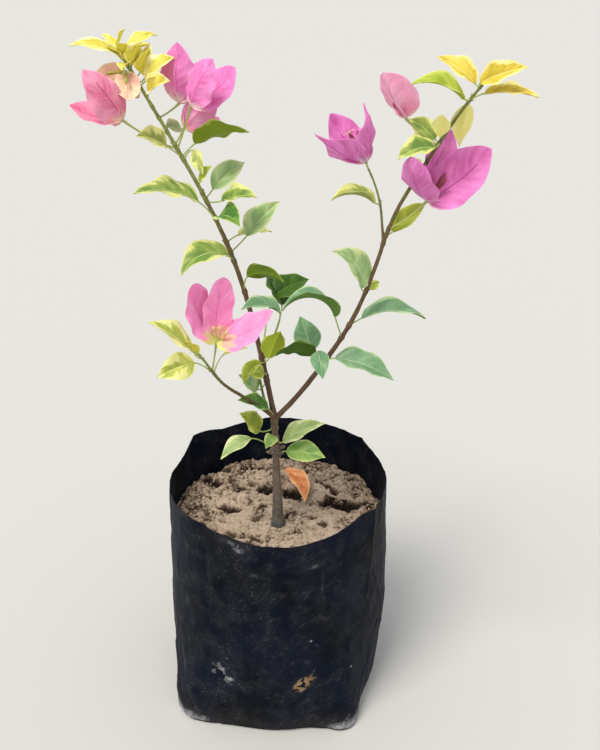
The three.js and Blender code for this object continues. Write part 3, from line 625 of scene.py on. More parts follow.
# Flower heads. A head stands on a limb by its stalk (length, rise, compass). Its three papery bracts are
# (length, width, rise, compass, roll), and a sixth number is a bract's own point. A low point is a blunt
# tip, and cup is how far the sides fold up, in degrees. A slim tube flower stands on each midrib, tubes
# long, and open says which one has its cream star out. tails are the bracts with a drawn-out tip, foot is
# how much of a bract is pale at its foot, and wave is how much its edges wave.
heads = {
    "left_outer_bracts": {
        "on": "left_bough", "at": 194, "stalk": (38, 31, -162), "tone": "salmon", "tubes": 16, "point": 0.8,
        "cup": 20, "bracts": [(38, 25, 56, -152, 105), (35, 22, 14, 170, -25), (37, 22, 31, 136, -90)]},
    "left_tip_bracts": {
        "on": "left_bough", "at": 247, "stalk": (7, 16, -115), "tone": "newborn", "tubes": 10, "point": 0.6,
        "cup": 14, "bracts": [(21, 17, -46, -78, 0), (19, 14, -8, -172, -70), (18, 12, -69, 28, 155)]},
    "left_near_bracts": {
        "on": "left_bough", "at": 194, "stalk": (31, 64, -36), "tone": "magenta", "tubes": 15, "point": 0.66,
        "cup": 12, "bracts": [(34, 24, 57, -26, -105), (36, 27, 35, 17, 40), (28, 18, 34, 52, 90)]},
    "left_high_bracts": {
        "on": "left_bough", "at": 216, "stalk": (16, 33, 4), "tone": "magenta", "tubes": 15, "point": 0.8,
        "cup": 14, "bracts": [(38, 28, 79, -64, -50), (29, 21, 52, 45, 10), (25, 15, 47, 85, 55)]},
    # Its pink tone is lightened: painted light, as this head sits in the shade of another
    "left_small_bracts": {
        "on": "left_bough", "at": 197, "stalk": (12, 47, 46), "tone": "shell", "tubes": 11, "point": 0.7,
        "cup": 16, "bracts": [(30, 21, 43, 0, -105), (25, 17, 11, 24, 20), (26, 15, 40, 55, 95)]},
    "twig_bracts": {
        "on": "flower_twig", "at": 48, "stalk": (3, 70, 180), "tone": "orchid", "tubes": 16, "point": 0.72,
        "cup": 20, "bracts": [(38, 23, 32, -163, 45), (36, 25, 46, 152, -35), (36, 20, 83, -119, 82)],
        "tails": (0, 2), "open": 1},
    "right_closed_bracts": {
        "on": "right_bough", "at": 225, "stalk": (24, 37, 171), "tone": "bud", "tubes": 10, "point": 0.62,
        "cup": 30, "bracts": [(31, 28, 60, -150, 22), (26, 14, 60, -178, -10), (22, 13, 66, -165, -160)],
        "wave": 0.02},
    "right_open_bracts": {
        "on": "right_bough", "at": 165, "stalk": (30, 41, -21), "tone": "orchid", "tubes": 15, "point": 0.7,
        "cup": 14, "bracts": [(48, 33, 43, -16, 55), (44, 28, 63, 38, 90), (36, 25, 55, -128, -5)]},
    "side_shoot_bracts": {
        "on": "side_shoot", "at": 79, "stalk": (22, 78, -32), "tone": "rose", "tubes": 8, "point": 0.62,
        "cup": 8, "foot": 0.13,
        "bracts": [(42, 27, 71, -163, -45, 0.55), (42, 22, 80, 23, 100, 0.54), (44, 27, 32, -12, 30, 0.8)]},
}

# Bougainvillea bract, a papery coloured leaf with no wax. It scatters light through itself, so it glows
# evenly, and its raised net of veins is a deeper pink. Colours by place: sheet, second, vein, foot, tube.
bractTones = {
    "magenta": ("e67cbc", "ef96ce", "d468aa", "efc8cc", "a05a68"),
    "orchid": ("cf6cae", "e48cca", "b4569a", "e8bcd0", "94505c"),
    "rose": ("f08ec0", "f4a2cc", "de7aac", "d6d684", "d8b48c"),
    # The next tone is a lightened pink, painted light for a head that sits in the shade of another
    "shell": ("ff9ecc", "ffb8de", "f084b4", "f0d8b8", "b86a80"),
    "salmon": ("dc749a", "f2a4c0", "b85074", "f0ccbc", "98405c"),
    "bud": ("f29cbc", "fab6d0", "d87498", "ecc0bc", "a8486c"),
    "newborn": ("ecb4a4", "f2d8b4", "d88c80", "efe2a8", "a8a256"),
}
bractSkin = {"roughness": 0.62, "shine": 0.25, "glow": 0.5, "soakDepth": 0.6, "crepe": 1.6, "crepeBump": 0.35,
             "shades": 6}
flowerSkin = {"tones": {"pedicel": "a8b060", "starCream": "f6eec8", "starThroat": "d9dc8a"}, "roughness": 0.5,
              "glow": 0.3, "soakDepth": 0.6, "grain": 2}


# Sheet to second tone in even shades, then the midrib, the pale foot and its fringe, and the tube flower
def bractColours(sheet, second, vein, foot, tube):
    return shadesOf(sheet, second, bractSkin["shades"]) | {
        "vein": linear(vein), "foot": linear(foot), "fringe": between(sheet, foot, 0.5), "tube": linear(tube)}


def makeBractMaterials():
    made = {}
    finish = {"Roughness": bractSkin["roughness"], "IOR": 1.4, "Specular IOR Level": bractSkin["shine"],
              "Subsurface Weight": bractSkin["glow"], "Subsurface Radius": (1.0, 0.55, 0.8),
              "Subsurface Scale": bractSkin["soakDepth"] * mm}
    # The paper's net of veins has meshes about 1.6 mm wide
    net = {"feature": "DISTANCE_TO_EDGE", "Scale": 1 / (bractSkin["crepe"] * mm)}
    dent = (bractSkin["crepeBump"], 0.15)
    for kind, tones in bractTones.items():
        for place, colour in bractColours(*tones).items():
            made[f"{kind}_{place}"] = softSkin(f"bougainvilleaBract_{kind}_{place}", colour, "TexVoronoi",
                                               net, dent, finish)
    finish = {"Roughness": flowerSkin["roughness"], "Subsurface Weight": flowerSkin["glow"],
              "Subsurface Radius": (0.9, 0.9, 0.4), "Subsurface Scale": flowerSkin["soakDepth"] * mm}
    for name, tone in flowerSkin["tones"].items():
        made[name] = softSkin(f"bougainvilleaFlower_{name}", linear(tone), "TexNoise",
                              {"Scale": 1 / (flowerSkin["grain"] * mm)}, (0.3, 0.1), finish)
    return made


bractMesh = {"rows": 44, "columns": 34, "round": 0.5, "tailThin": 0.75, "leastHalf": 0.2, "thick": 0.3,
             "twist": 10, "bulge": 0.1, "tipCurl": 0.06, "ribRound": 0.05, "arch": 0.12, "wave": 0.08,
             "curl": 2.5, "lag": 1.7, "crinkle": 0.34, "crinkleSize": 4.5, "veins": 7, "veinStretch": 1.15,
             "veinSlant": 0.34, "veinBow": 1.3, "veinWidth": 0.12, "veinRise": 0.26, "ribWidth": 0.5,
             "ribFade": 0.7, "ribRise": 0.14, "ribSwell": 0.3, "foot": 0.07,
             # What makes the pink paler: the edge, the tip and loose patches. The veins make it deeper.
             "plain": 0.32, "edgePale": 0.35, "tipPale": 0.25, "patch": 0.45, "veinDeep": 0.35}


def addBract(sheaf, base, bract, head, seed, tail):
    m, tone = bractMesh, head["tone"]
    length, width, rise, compass, roll = bract[:5]
    point = bract[5] if len(bract) > 5 else head["point"]
    fold = radians(head["cup"])
    draw = np.random.default_rng(seed)
    ahead = heading(rise, compass)
    t = np.linspace(0, 1, m["rows"] + 1)
    twist = draw.uniform(-m["twist"], m["twist"])
    across, face = bladeFrame(np.tile(ahead, (len(t), 1)), compass, roll + twist * (t - 0.4))
    widest = m["round"] / (m["round"] + point)
    outline = (t / widest) ** m["round"] * ((1 - t) / (1 - widest)) ** point \
        * (1 - m["tailThin"] * tail * ease(0.5, 0.85, t))
    half = np.maximum(width / 2 * outline, m["leastHalf"])[:, None]
    bow = length * (m["tipCurl"] * ease(0.7, 1, t) * draw.uniform(-1, 0.6) - m["bulge"] * np.sin(pi * t))
    rib = base + ahead * (length * t)[:, None] + face * bow[:, None]
    u, t = acrossBlade(m["columns"]), t[:, None]
    phase, turns, firstVein = draw.uniform(0, 2 * pi), draw.uniform(2.0, 3.2), draw.uniform(0, 0.4)
    side, wave, vein, ribLine = bladeRelief(t, u, half, m, turns, phase, firstVein)
    vein = vein * (1 - np.abs(u) ** 4)
    wave = head.get("wave", m["wave"]) * wave * ease(0, 0.2, t)
    lift = side * sin(fold) + m["arch"] * side * (1 - side) + wave
    grid = np.ones(ribLine.shape)
    spots = np.stack([t * length * grid, u * half, seed * 3.0 * grid], -1)
    crinkle = roughen(spots, m["crinkleSize"], seed) * ease(0, 0.15, t)
    rises = lift * half + m["crinkle"] * crinkle - m["veinRise"] * vein - m["ribRise"] * ribLine
    out = u * cos(fold) * half
    corners, faces = closedBlade(rib, across, face, out, rises, m["thick"], m["ribSwell"] * ribLine)
    # The pink is deepest by the foot and along the veins and palest at the edge, and the foot itself is pale
    tc, uc, hc = (cellMiddles(v * grid) for v in (t, u, half))
    far = np.abs(uc)
    streaks = np.stack([(tc - 0.3 * far ** 1.3) * length / 5, uc * hc / 8, 0 * tc + seed], -1)
    patch = roughen(streaks, 1, seed + 5)
    paler = m["plain"] + m["edgePale"] * far ** 1.5 + m["tipPale"] * tc + m["patch"] * patch \
        - m["veinDeep"] * cellMiddles(vein)
    slots = dealShades(tone, paler, bractSkin["shades"], draw)
    pale = head.get("foot", m["foot"])
    slots = np.where((far < 0.04) & (tc < 0.75), f"{tone}_vein", slots)
    slots = np.where(tc < 1.8 * pale + 0.1 * patch, f"{tone}_fringe", slots)
    slots = np.where(tc < pale + 0.06 * patch, f"{tone}_foot", slots)
    addTo(sheaf, corners, faces, np.tile(slots.reshape(-1), 2))
    return ahead, face[0]


# Tube flower: profile gives its swollen foot, narrow waist and ribbed head, and rises is the star's height
# from its throat to its rim
flower = {"profile": (0.35, 0.95, 1.05, 0.75, 0.62, 0.72, 1.0, 1.15, 0.95, 0.35), "thick": 1.15, "sides": 15,
          "lobes": 5, "ribbing": 0.09, "bend": 0.06, "starReach": 3.6, "starPoints": 40, "starThick": 0.25,
          "rises": (0.0, 0.5, 0.9, 1.1, 1.0), "ruffle": 0.25}


def addTubeFlower(sheaf, start, ahead, length, tone, opened, seed):
    t = np.linspace(0, 1, 15)
    ribs = 1 + flower["ribbing"] * np.cos(turnsRound(flower["sides"]) * flower["lobes"])
    bend = unit(np.cross(ahead, (0.3, 0.2, 1.0)))
    path = start + ahead * (length * t)[:, None] + bend * (flower["bend"] * length * t ** 2)[:, None]
    radii = along(flower["profile"], t)[:, None] * ribs * flower["thick"]
    addTo(sheaf, *tube(path, radii, flower["sides"]), f"{tone}_tube")
    if not opened:
        return
    top, axis = path[-1], unit(path[-1] - path[-2])
    across = unit(np.cross(axis, (0.2, 0.9, 0.1)))
    other = np.cross(axis, across)
    rows, wide = len(flower["rises"]), flower["starPoints"]
    turns = turnsRound(wide)
    petals = 0.62 + 0.38 * np.abs(np.cos(turns * flower["lobes"] / 2)) ** 0.7
    rings = []
    for share, rise in zip(np.linspace(0.12, 1, rows), flower["rises"]):
        reach = flower["starReach"] * share * (1 + (petals - 1) * share)
        ruffle = rise + flower["ruffle"] * share * np.sin(turns * 2 * flower["lobes"] + seed)
        rings.append(top + reach[:, None] * spokes(turns, across, other) + axis * ruffle[:, None])
    upper = np.array(rings)
    lower = (upper - axis * flower["starThick"])[:-1]     # both faces share the rim
    faces = gridFaces(rows, wide, joined=True, turned=True).tolist()
    faces += gridFaces(rows - 1, wide, joined=True, start=rows * wide).tolist()
    rim, below = (rows - 1) * wide, rows * wide + (rows - 2) * wide
    faces += [[below + k, below + (k + 1) % wide, rim + (k + 1) % wide, rim + k] for k in range(wide)]
    faces += [list(range(wide)), [rows * wide + k for k in range(wide)][::-1]]
    slots = ["starCream" if i >= 2 * wide else "starThroat" for i in range(len(faces))]
    addTo(sheaf, np.concatenate([upper.reshape(-1, 3), lower.reshape(-1, 3)]), faces, slots)


bractMaterials = makeBractMaterials()
for number, (node, head) in enumerate(heads.items()):
    sheaf = newSheaf()
    foot, reach = placeOn(head["on"], head["at"]), head["stalk"][0]
    ahead = heading(*head["stalk"][1:])
    s = np.linspace(0, 1, 16)[:, None]
    path = foot + ahead * reach * s + np.array([0, 0, -0.05]) * reach * 4 * s * (1 - s)     # it sags a little
    swell = 0.55 + 0.5 * s[:, 0] ** 6 + 0.25 * (1 - s[:, 0]) ** 8
    addTo(sheaf, *tube(path, swell, 9), "pedicel")
    base = foot + ahead * reach
    for order, bract in enumerate(head["bracts"]):
        seed = 4000 + 100 * number + order
        bractAhead, bractFace = addBract(sheaf, base, bract, head, seed, order in head.get("tails", ()))
        start = base + bractAhead * bract[0] * 0.10 + bractFace * 0.9
        rising = unit(bractAhead + bractFace * 0.32)
        addTubeFlower(sheaf, start, rising, head["tubes"], head["tone"], head.get("open") == order, seed)
    makePiece(node.replace("bracts", "flower_head"), sheaf, bractMaterials, [node])
print("flower heads are open")


# Young bougainvillea bark: grey-brown cork on the stem, brown on the boughs and green skin at the tips.
# Fine lengthwise cracks and raised pores break up the light, and the smooth tips have a soft shine.
bark = {"tones": [(0.0, "50565a"), (0.06, "7f7262"), (0.2, "705b46"), (0.42, "5f4430"), (0.62, "6a5a34"),
                  (0.8, "7f8b45"), (1.0, "a3b35c")],     # from old to young
        "ringStep": 0.8, "sides": 26, "crack": 0.16, "nodeSwell": 0.30, "nodeReach": 1.7, "footFlare": 1.6,
        "flareReach": 7, "flareLobes": 5, "collar": 0.55, "collarReach": 3.2, "budLength": 1.9,
        "budThick": 0.75, "crackGap": 1.2, "patchSize": 7,
        # Old leaf scars on the stem: place along it, compass, and how far each stands out
        "scars": [(59, -60, 2.6), (60, 15, 3.6), (62, -165, 4.6), (64, -110, 3.2), (66, -8, 4.8),
                  (68, 172, 3.4), (68, 75, 2.8), (69, -70, 3.0), (65, 120, 3.2), (71, -150, 2.6),
                  (63, -35, 3.4), (70, -18, 2.6), (84, -50, 1.2), (50, -100, 0.6), (30, -70, 0.4)]}


def makeBarkMaterial():
    material, tree, shader = newMaterial("bougainvilleaBark")
    spot = addNode(tree, "TexCoord", {}, "Object")
    age = addNode(tree, "Attribute", {"attribute_name": "young"}, "Fac")
    streak = addNode(tree, "Mapping", {"Scale": (1, 1, 0.22), "Vector": spot})
    # Lengthwise cracks about 1.2 mm apart
    cracks = addNode(tree, "TexNoise", {"Scale": 1 / (bark["crackGap"] * mm), "Detail": 6.0,
                                        "Roughness": 0.65, "Vector": streak})
    patches = addNode(tree, "TexNoise", {"Scale": 1 / (bark["patchSize"] * mm), "Detail": 3.0,
                                         "Vector": spot})
    wander = addNode(tree, "Math", {"operation": "MULTIPLY_ADD", 0: patches, 1: 0.3, 2: -0.15})
    greenness = addNode(tree, "Math", {"operation": "ADD", 0: age, 1: wander})
    skin = addNode(tree, "ValToRGB", {"Fac": greenness}, stops=bark["tones"])
    dark = addNode(tree, "MapRange", {"From Min": 0.35, "From Max": 0.65, "To Min": 0.62, "To Max": 1.2,
                                      "Value": cracks})
    tint = addNode(tree, "HueSaturation", {"Color": skin, "Value": dark})
    bump = addNode(tree, "Bump", {"Strength": 0.7, "Distance": 0.25 * mm, "Height": cracks})
    addNode(tree, shader, {"Roughness": 0.68, "IOR": 1.45, "Base Color": tint, "Normal": bump})
    return material


# Where leaves, heads and other limbs stand on a limb
def limbNodes(name):
    places = [leaf[0] for limbName, leaves in sprays.values() if limbName == name for leaf in leaves]
    places += [other["at"] for other in (*heads.values(), *limbs.values()) if other.get("on") == name]
    return sorted(set(places))


def growLimb(name, material):
    limb, sides = limbs[name], bark["sides"]
    at = np.linspace(0, limb["length"], round(limb["length"] / bark["ringStep"]) + 1)
    points = placeOn(name, at)
    for _ in range(3):     # rounds the corners of the walked line
        points[1:-1] = (points[:-2] + 2 * points[1:-1] + points[2:]) / 4
    swells = [bell(at - place, bark["nodeReach"]) for place in limbNodes(name)]
    radius = limbRadius(name, at) * (1 + bark["nodeSwell"] * np.max(swells, axis=0, initial=0))
    if "on" in limb:
        radius = radius + bark["collar"] * np.exp(-at / bark["collarReach"])
    turns = turnsRound(sides)
    radii = radius[:, None] * np.ones(sides)
    if "on" not in limb:
        flare = bark["footFlare"] * np.exp(-at / bark["flareReach"])
        radii = radii + flare[:, None] * (1 + 0.35 * np.cos(turns * bark["flareLobes"] + 0.7))
    around = np.stack([np.outer(radius, np.cos(turns)), np.outer(radius, np.sin(turns)),
                       np.outer(at * 0.2, np.ones(sides))], -1)
    young = along(limb["young"], at / limb["length"])
    cracks, knobs = roughen(around, 1.1, len(name), 3), roughen(around * (1, 1, 4), 5, 3, 2)
    radii = radii * (1 + 0.05 * knobs) + bark["crack"] * (1.25 - young)[:, None] * cracks
    radii[-2:] = radii[-2:] * np.array([[0.8], [0.35]])
    sheaf = newSheaf()
    addTo(sheaf, *tube(points, radii, sides), "bark")
    marks = [np.repeat(young, sides)]
    # A dormant bud sits over each leaf scar, turned from node to node
    for order, place in enumerate(limbNodes(name)):
        turn = order * 2.4 + len(name)
        ahead = unit(placeOn(name, place + 1.5) - placeOn(name, place))
        out = unit(np.cross(ahead, (cos(turn), sin(turn), 0.1)))
        size = float(limbRadius(name, place))
        s = np.linspace(0, 1, 7)
        rising = np.outer(s * bark["budLength"], unit(out + ahead))
        thick = bark["budThick"] * np.sqrt(np.maximum(1 - s, 0.02)) * min(1, size / 1.4)
        bud, budFaces = tube(placeOn(name, place + 1.2) + out * size * 0.7 + rising, thick, 8)
        addTo(sheaf, bud, budFaces, "bark")
        marks.append(np.full(len(bud), min(1, np.interp(place, at, young) + 0.12)))
    for place, turn, size in bark["scars"] if "on" not in limb else ():
        out = heading(25, turn)
        stand = limbRadius(name, place) + np.array([-1.2, -0.2, 0.35, 0.75, 1.0]) * (size + 0.4)
        thick = np.array([1.35, 1.2, 0.95, 1.0, 0.45]) * (0.55 + size * 0.17)
        scar, scarFaces = tube(placeOn(name, place) + np.outer(stand, out), thick, 9, (0, 0, 1))
        addTo(sheaf, scar + 0.35 * roughen(scar, 1.6, 5, 2)[:, None] * out, scarFaces, "bark")
        marks.append(np.full(len(scar), 0.1))
    makePiece(name + "_wood", sheaf, {"bark": material}, [name], {"young": np.concatenate(marks)}, 75)


barkMaterial = makeBarkMaterial()
for name in limbs:
    growLimb(name, barkMaterial)
print("stem and boughs are grown")


# The grow bag. Each ring is height, radius, and how far its plan follows the corners of the seam.
# The corners, waves and pleats are each (compass, how far out or up, half width in degrees).
bag = {
    "rings": [(0, 79, 1), (3, 82, 1), (12, 83.5, 0.85), (34, 84.5, 0.42), (76, 84.6, 0.1), (125, 82.6, 0),
              (177, 80.8, 0)],
    "rim": 177, "middle": 84, "film": 0.45, "footShift": -2.5, "waveStart": 105,
    "around": 420, "up": 150, "inside": 44,     # points round a ring, and rings up the outside and inside
    "footCorners": [(45, 14, 14), (135, 14, 16), (223, 14.5, 17), (306, 16, 12), (180, -3.5, 20),
                    (0, -3.5, 20)],
    "rimWaves": [(60, 3.5, 34), (100, 3, 22), (141, 8, 13), (158, -4, 16), (190, -2, 16), (228, 1.5, 22),
                 (279, -3.6, 21), (318, 3, 16)],
    "rimPleats": [(144, 2.6, 7), (38, 2.2, 7), (232, -1.4, 5), (327, 0.9, 5), (318, -0.8, 6), (262, 0.7, 9)],
    # Creases in the film, each a line of (compass, height) with its depth and width
    "creases": [
        ([(300, 4), (316, 17), (330, 44)], 1.1, 1.6), ([(303, 9), (322, 34), (334, 70)], -0.8, 2.0),
        ([(296, 2), (311, 12), (322, 22)], -0.9, 1.3), ([(228, 4), (214, 18), (203, 46)], 1.0, 1.7),
        ([(233, 8), (219, 30), (208, 72)], -0.7, 2.2), ([(240, 3), (228, 14), (214, 28)], -0.8, 1.4),
        ([(231, 176), (233, 130), (236, 95)], -0.9, 3.0), ([(328, 176), (326, 140), (322, 110)], 0.8, 2.2),
        ([(250, 172), (262, 155), (285, 146)], 0.5, 3.2), ([(330, 120), (338, 90), (341, 60)], 0.6, 2.4),
        ([(50, 5), (62, 26), (72, 60)], 1.0, 1.8), ([(130, 5), (118, 24), (108, 58)], -0.9, 1.8),
        ([(144, 182), (146, 140), (150, 100)], 0.9, 2.0), ([(38, 178), (40, 140), (44, 104)], 0.8, 2.0),
        ([(185, 160), (176, 130), (172, 90)], -0.6, 3.0), ([(85, 170), (92, 140), (96, 110)], 0.5, 3.0),
        ([(20, 40), (8, 66), (2, 100)], 0.6, 2.4), ([(160, 20), (170, 50), (176, 90)], 0.7, 2.2),
    ],
    # Scuffs and painted sheen: compass, height, half length, half width, turn from level, strength
    "scuffsAndSheen": [
        # The first two are a painted sheen below the front rim, and the fourth and fifth are painted highlights
        (248, 173, 16, 4, 0, 0.62), (252, 169, 8, 5, 0, 0.85), (260, 151, 4, 5, 90, 0.6),
        (289, 157, 13, 4, 5, 0.5), (277, 147, 8, 3, -5, 0.4), (293, 139, 16, 1.6, 90, 0.6),
        (271, 135, 5, 1.2, 0, 0.35), (235, 104, 4, 4, 0, 0.5), (243, 100, 7, 1.5, -45, 0.6),
        (218, 152, 5, 5, 60, 0.5), (313, 108, 32, 9, 55, 0.32), (322, 84, 22, 5, 55, 0.3),
        (304, 120, 26, 5, 60, 0.25), (287, 90, 1.2, 1.2, 0, 2.2), (309, 54, 1.1, 1.3, 0, 2.2),
        (289, 61, 5, 1, 60, 0.7), (290, 85, 3, 0.8, -40, 0.9), (213, 5, 16, 3, 60, 0.8),
        (228, 3, 14, 3, 0, 0.6), (316, 3, 9, 4, 70, 0.9), (300, 4, 16, 3, 3, 0.7), (266, 38, 2, 1, 0, 0.7),
        (270, 35, 1.8, 1.2, 0, 0.7),
        (280, 13, 4, 1, 20, 0.6), (205, 120, 30, 2, 85, 0.25), (199, 90, 40, 3, 88, 0.25),
        (341, 100, 40, 3, 85, 0.3), (350, 60, 26, 3, 70, 0.3),
    ],
    # Frayed tears: compass, height, half length, half width, turn, and how much tan soil shows through
    "tears": [(242, 55, 9.5, 5.5, -48, 0.0), (284, 51, 11, 6, 40, 1.0)],
    "looseScuffs": 46,
    # Relief all over the film: how high and how wide its crinkles, its fine ripples and the soil's clods are
    "crinkle": 0.75, "crinkleSize": 19, "sunkIn": 0.4, "ripple": 0.16, "rippleSize": 5.5, "clod": 0.7,
    "clodSize": 21,
}


# How far a ring swells in each direction, from a list of (direction, swell, half width)
def swellAt(bumps, compass):
    return sum(height * bell(awayFrom(middle, compass), spread) for middle, height, spread in bumps)


def smoothRing(level):
    levels, radii, squares = (np.array(column, float) for column in zip(*bag["rings"]))
    fine = np.linspace(-10, 190, 801)
    kernel = bell(np.arange(-12, 13), 7.0)
    plain = np.interp(fine, levels, radii)
    mixed = np.where(fine < 8, plain, np.convolve(plain, kernel / kernel.sum(), "same"))
    return np.interp(level, fine, mixed), np.interp(level, levels, squares)


# Millimetres along the unrolled film from one compass direction to another
def filmAway(middle, compass):
    return awayFrom(middle, compass) * radians(1) * bag["middle"]


# Distance in the unrolled film from each point to a crease's line
def creaseDistance(compass, level, line):
    best = np.full(compass.shape, 1e9)
    for (a0, h0), (a1, h1) in zip(line, line[1:]):
        px, py = filmAway(a0, compass), level - h0
        dx, dy = filmAway(a0, a1), h1 - h0
        t = np.clip((px * dx + py * dy) / (dx * dx + dy * dy), 0, 1)
        best = np.minimum(best, np.hypot(px - t * dx, py - t * dy))
    return best


def markReach(compass, level, mark):
    return ellipseReach(filmAway(mark[0], compass), level - mark[1], *mark[2:5])


def scatterScuffs():
    draw = np.random.default_rng(77)
    loose = []
    for _ in range(bag["looseScuffs"]):
        size = draw.uniform(2, 11)
        loose.append((draw.uniform(0, 360), draw.uniform(8, 170), size, size * draw.uniform(0.12, 0.5),
                      draw.uniform(20, 110), draw.uniform(0.2, 0.55)))
    return loose


allScuffsAndSheen = bag["scuffsAndSheen"] + scatterScuffs()


# Places on the film, inset by a wall, and how creased, scuffed and torn the film is there, with the painted
# sheen and highlights counted among the scuffs
def filmPoints(compass, level, inset):
    radius, square = smoothRing(level)
    upper = ease(bag["waveStart"], bag["rim"], level)
    corners = swellAt(bag["footCorners"], compass)
    reach = radius + square * corners + upper ** 2 * swellAt(bag["rimPleats"], compass)
    a = np.radians(compass)
    plain = np.stack([bag["middle"] * np.cos(a), bag["middle"] * np.sin(a), level], -1)
    swirl = plain @ np.array([[1, 0, 0.35], [0, 1, 0.35], [0, 0, 0.55]])
    crinkle = 1 - np.abs(roughen(swirl, bag["crinkleSize"], 5, 3))
    ripple = roughen(swirl, bag["rippleSize"], 9, 2)
    # The soil presses out below its top
    clods = roughen(plain, bag["clodSize"], 21, 2) * (1 - ease(120, 150, level))
    relief = bag["crinkle"] * crinkle ** 2 - bag["sunkIn"] + bag["ripple"] * ripple + bag["clod"] * clods
    reach = reach + ease(0, 6, level) * relief
    worn, scuffAndSheen, torn = (np.zeros(level.shape) for _ in range(3))
    for line, depth, width in bag["creases"]:
        near = bell(creaseDistance(compass, level, line), width)
        reach = reach + depth * near
        worn = np.maximum(worn, 0.5 * near * (level < 60))
    worn = np.maximum(worn, 1.3 * np.clip(corners / 14, 0, 1) ** 1.5 * bell(level - 3, 7))
    # Scuffs, with the painted sheen and highlights among them
    for mark in allScuffsAndSheen if inset == 0 else ():
        scuffAndSheen = np.maximum(scuffAndSheen, mark[5] * bell(markReach(compass, level, mark), 0.75))
    for mark in bag["tears"]:
        far = markReach(compass, level, mark) * (1 + 0.4 * roughen(plain, 3.4, 63, 3))
        shreds = roughen(plain, 3.2, 65, 2)
        reach = reach + bell(far, 0.9) * (1.3 * shreds - 0.5)
        frayed = bell(far, 1.05) * np.clip(1.1 + 1.6 * shreds, 0, 2.2)
        scuffAndSheen = np.maximum(scuffAndSheen, frayed * (0.85 - 0.45 * mark[5]))
        torn = np.maximum(torn, (1 - ease(0.45, 1.1, far)) * mark[5])
    reach = reach - inset
    lift = upper * swellAt(bag["rimWaves"], compass) + upper ** 3 * 0.5 * roughen(plain, 9, 31, 2)
    shift = bag["footShift"] * (1 - ease(0, bag["waveStart"], level))
    places = np.stack([reach * np.cos(a) + shift, reach * np.sin(a), level + lift], -1)
    return places, {"worn": worn, "scuffAndSheen": scuffAndSheen, "torn": torn}


# Blown black polyethylene film: a soft low shine over blue-black, wrinkles that catch long highlights, milky
# stress marks where it was folded or rubbed, a painted sheen and painted highlights in the same milky tone
# by the rim, and a thin veil of dry dust that is thickest near the ground.
# Each grain is its size in millimetres, detail and roughness, then its turn and stretch if it is drawn out:
# clouds of blue, smears of dust, grit of earth, rubbed streaks and fine scratches that run up to the right.
filmLook = {"black": "07090d", "blue": "0c1424", "dust": "1a1b1d", "earth": "3e3932", "stressAndSheen": "a6a6a8",
            "backing": "94754e", "roughness": 0.45, "dustyRoughness": 0.8, "shine": 0.04, "splashTop": 26,
            "grains": {"clouds": (52, 3, 0.5), "smears": (14, 5, 0.6), "grit": (1.6, 5, 0.6),
                       "streaks": (3, 7, 0.65, (0, 32, 0), 5), "scratches": (1, 3, 0.5, (0, 52, 12), 7)}}


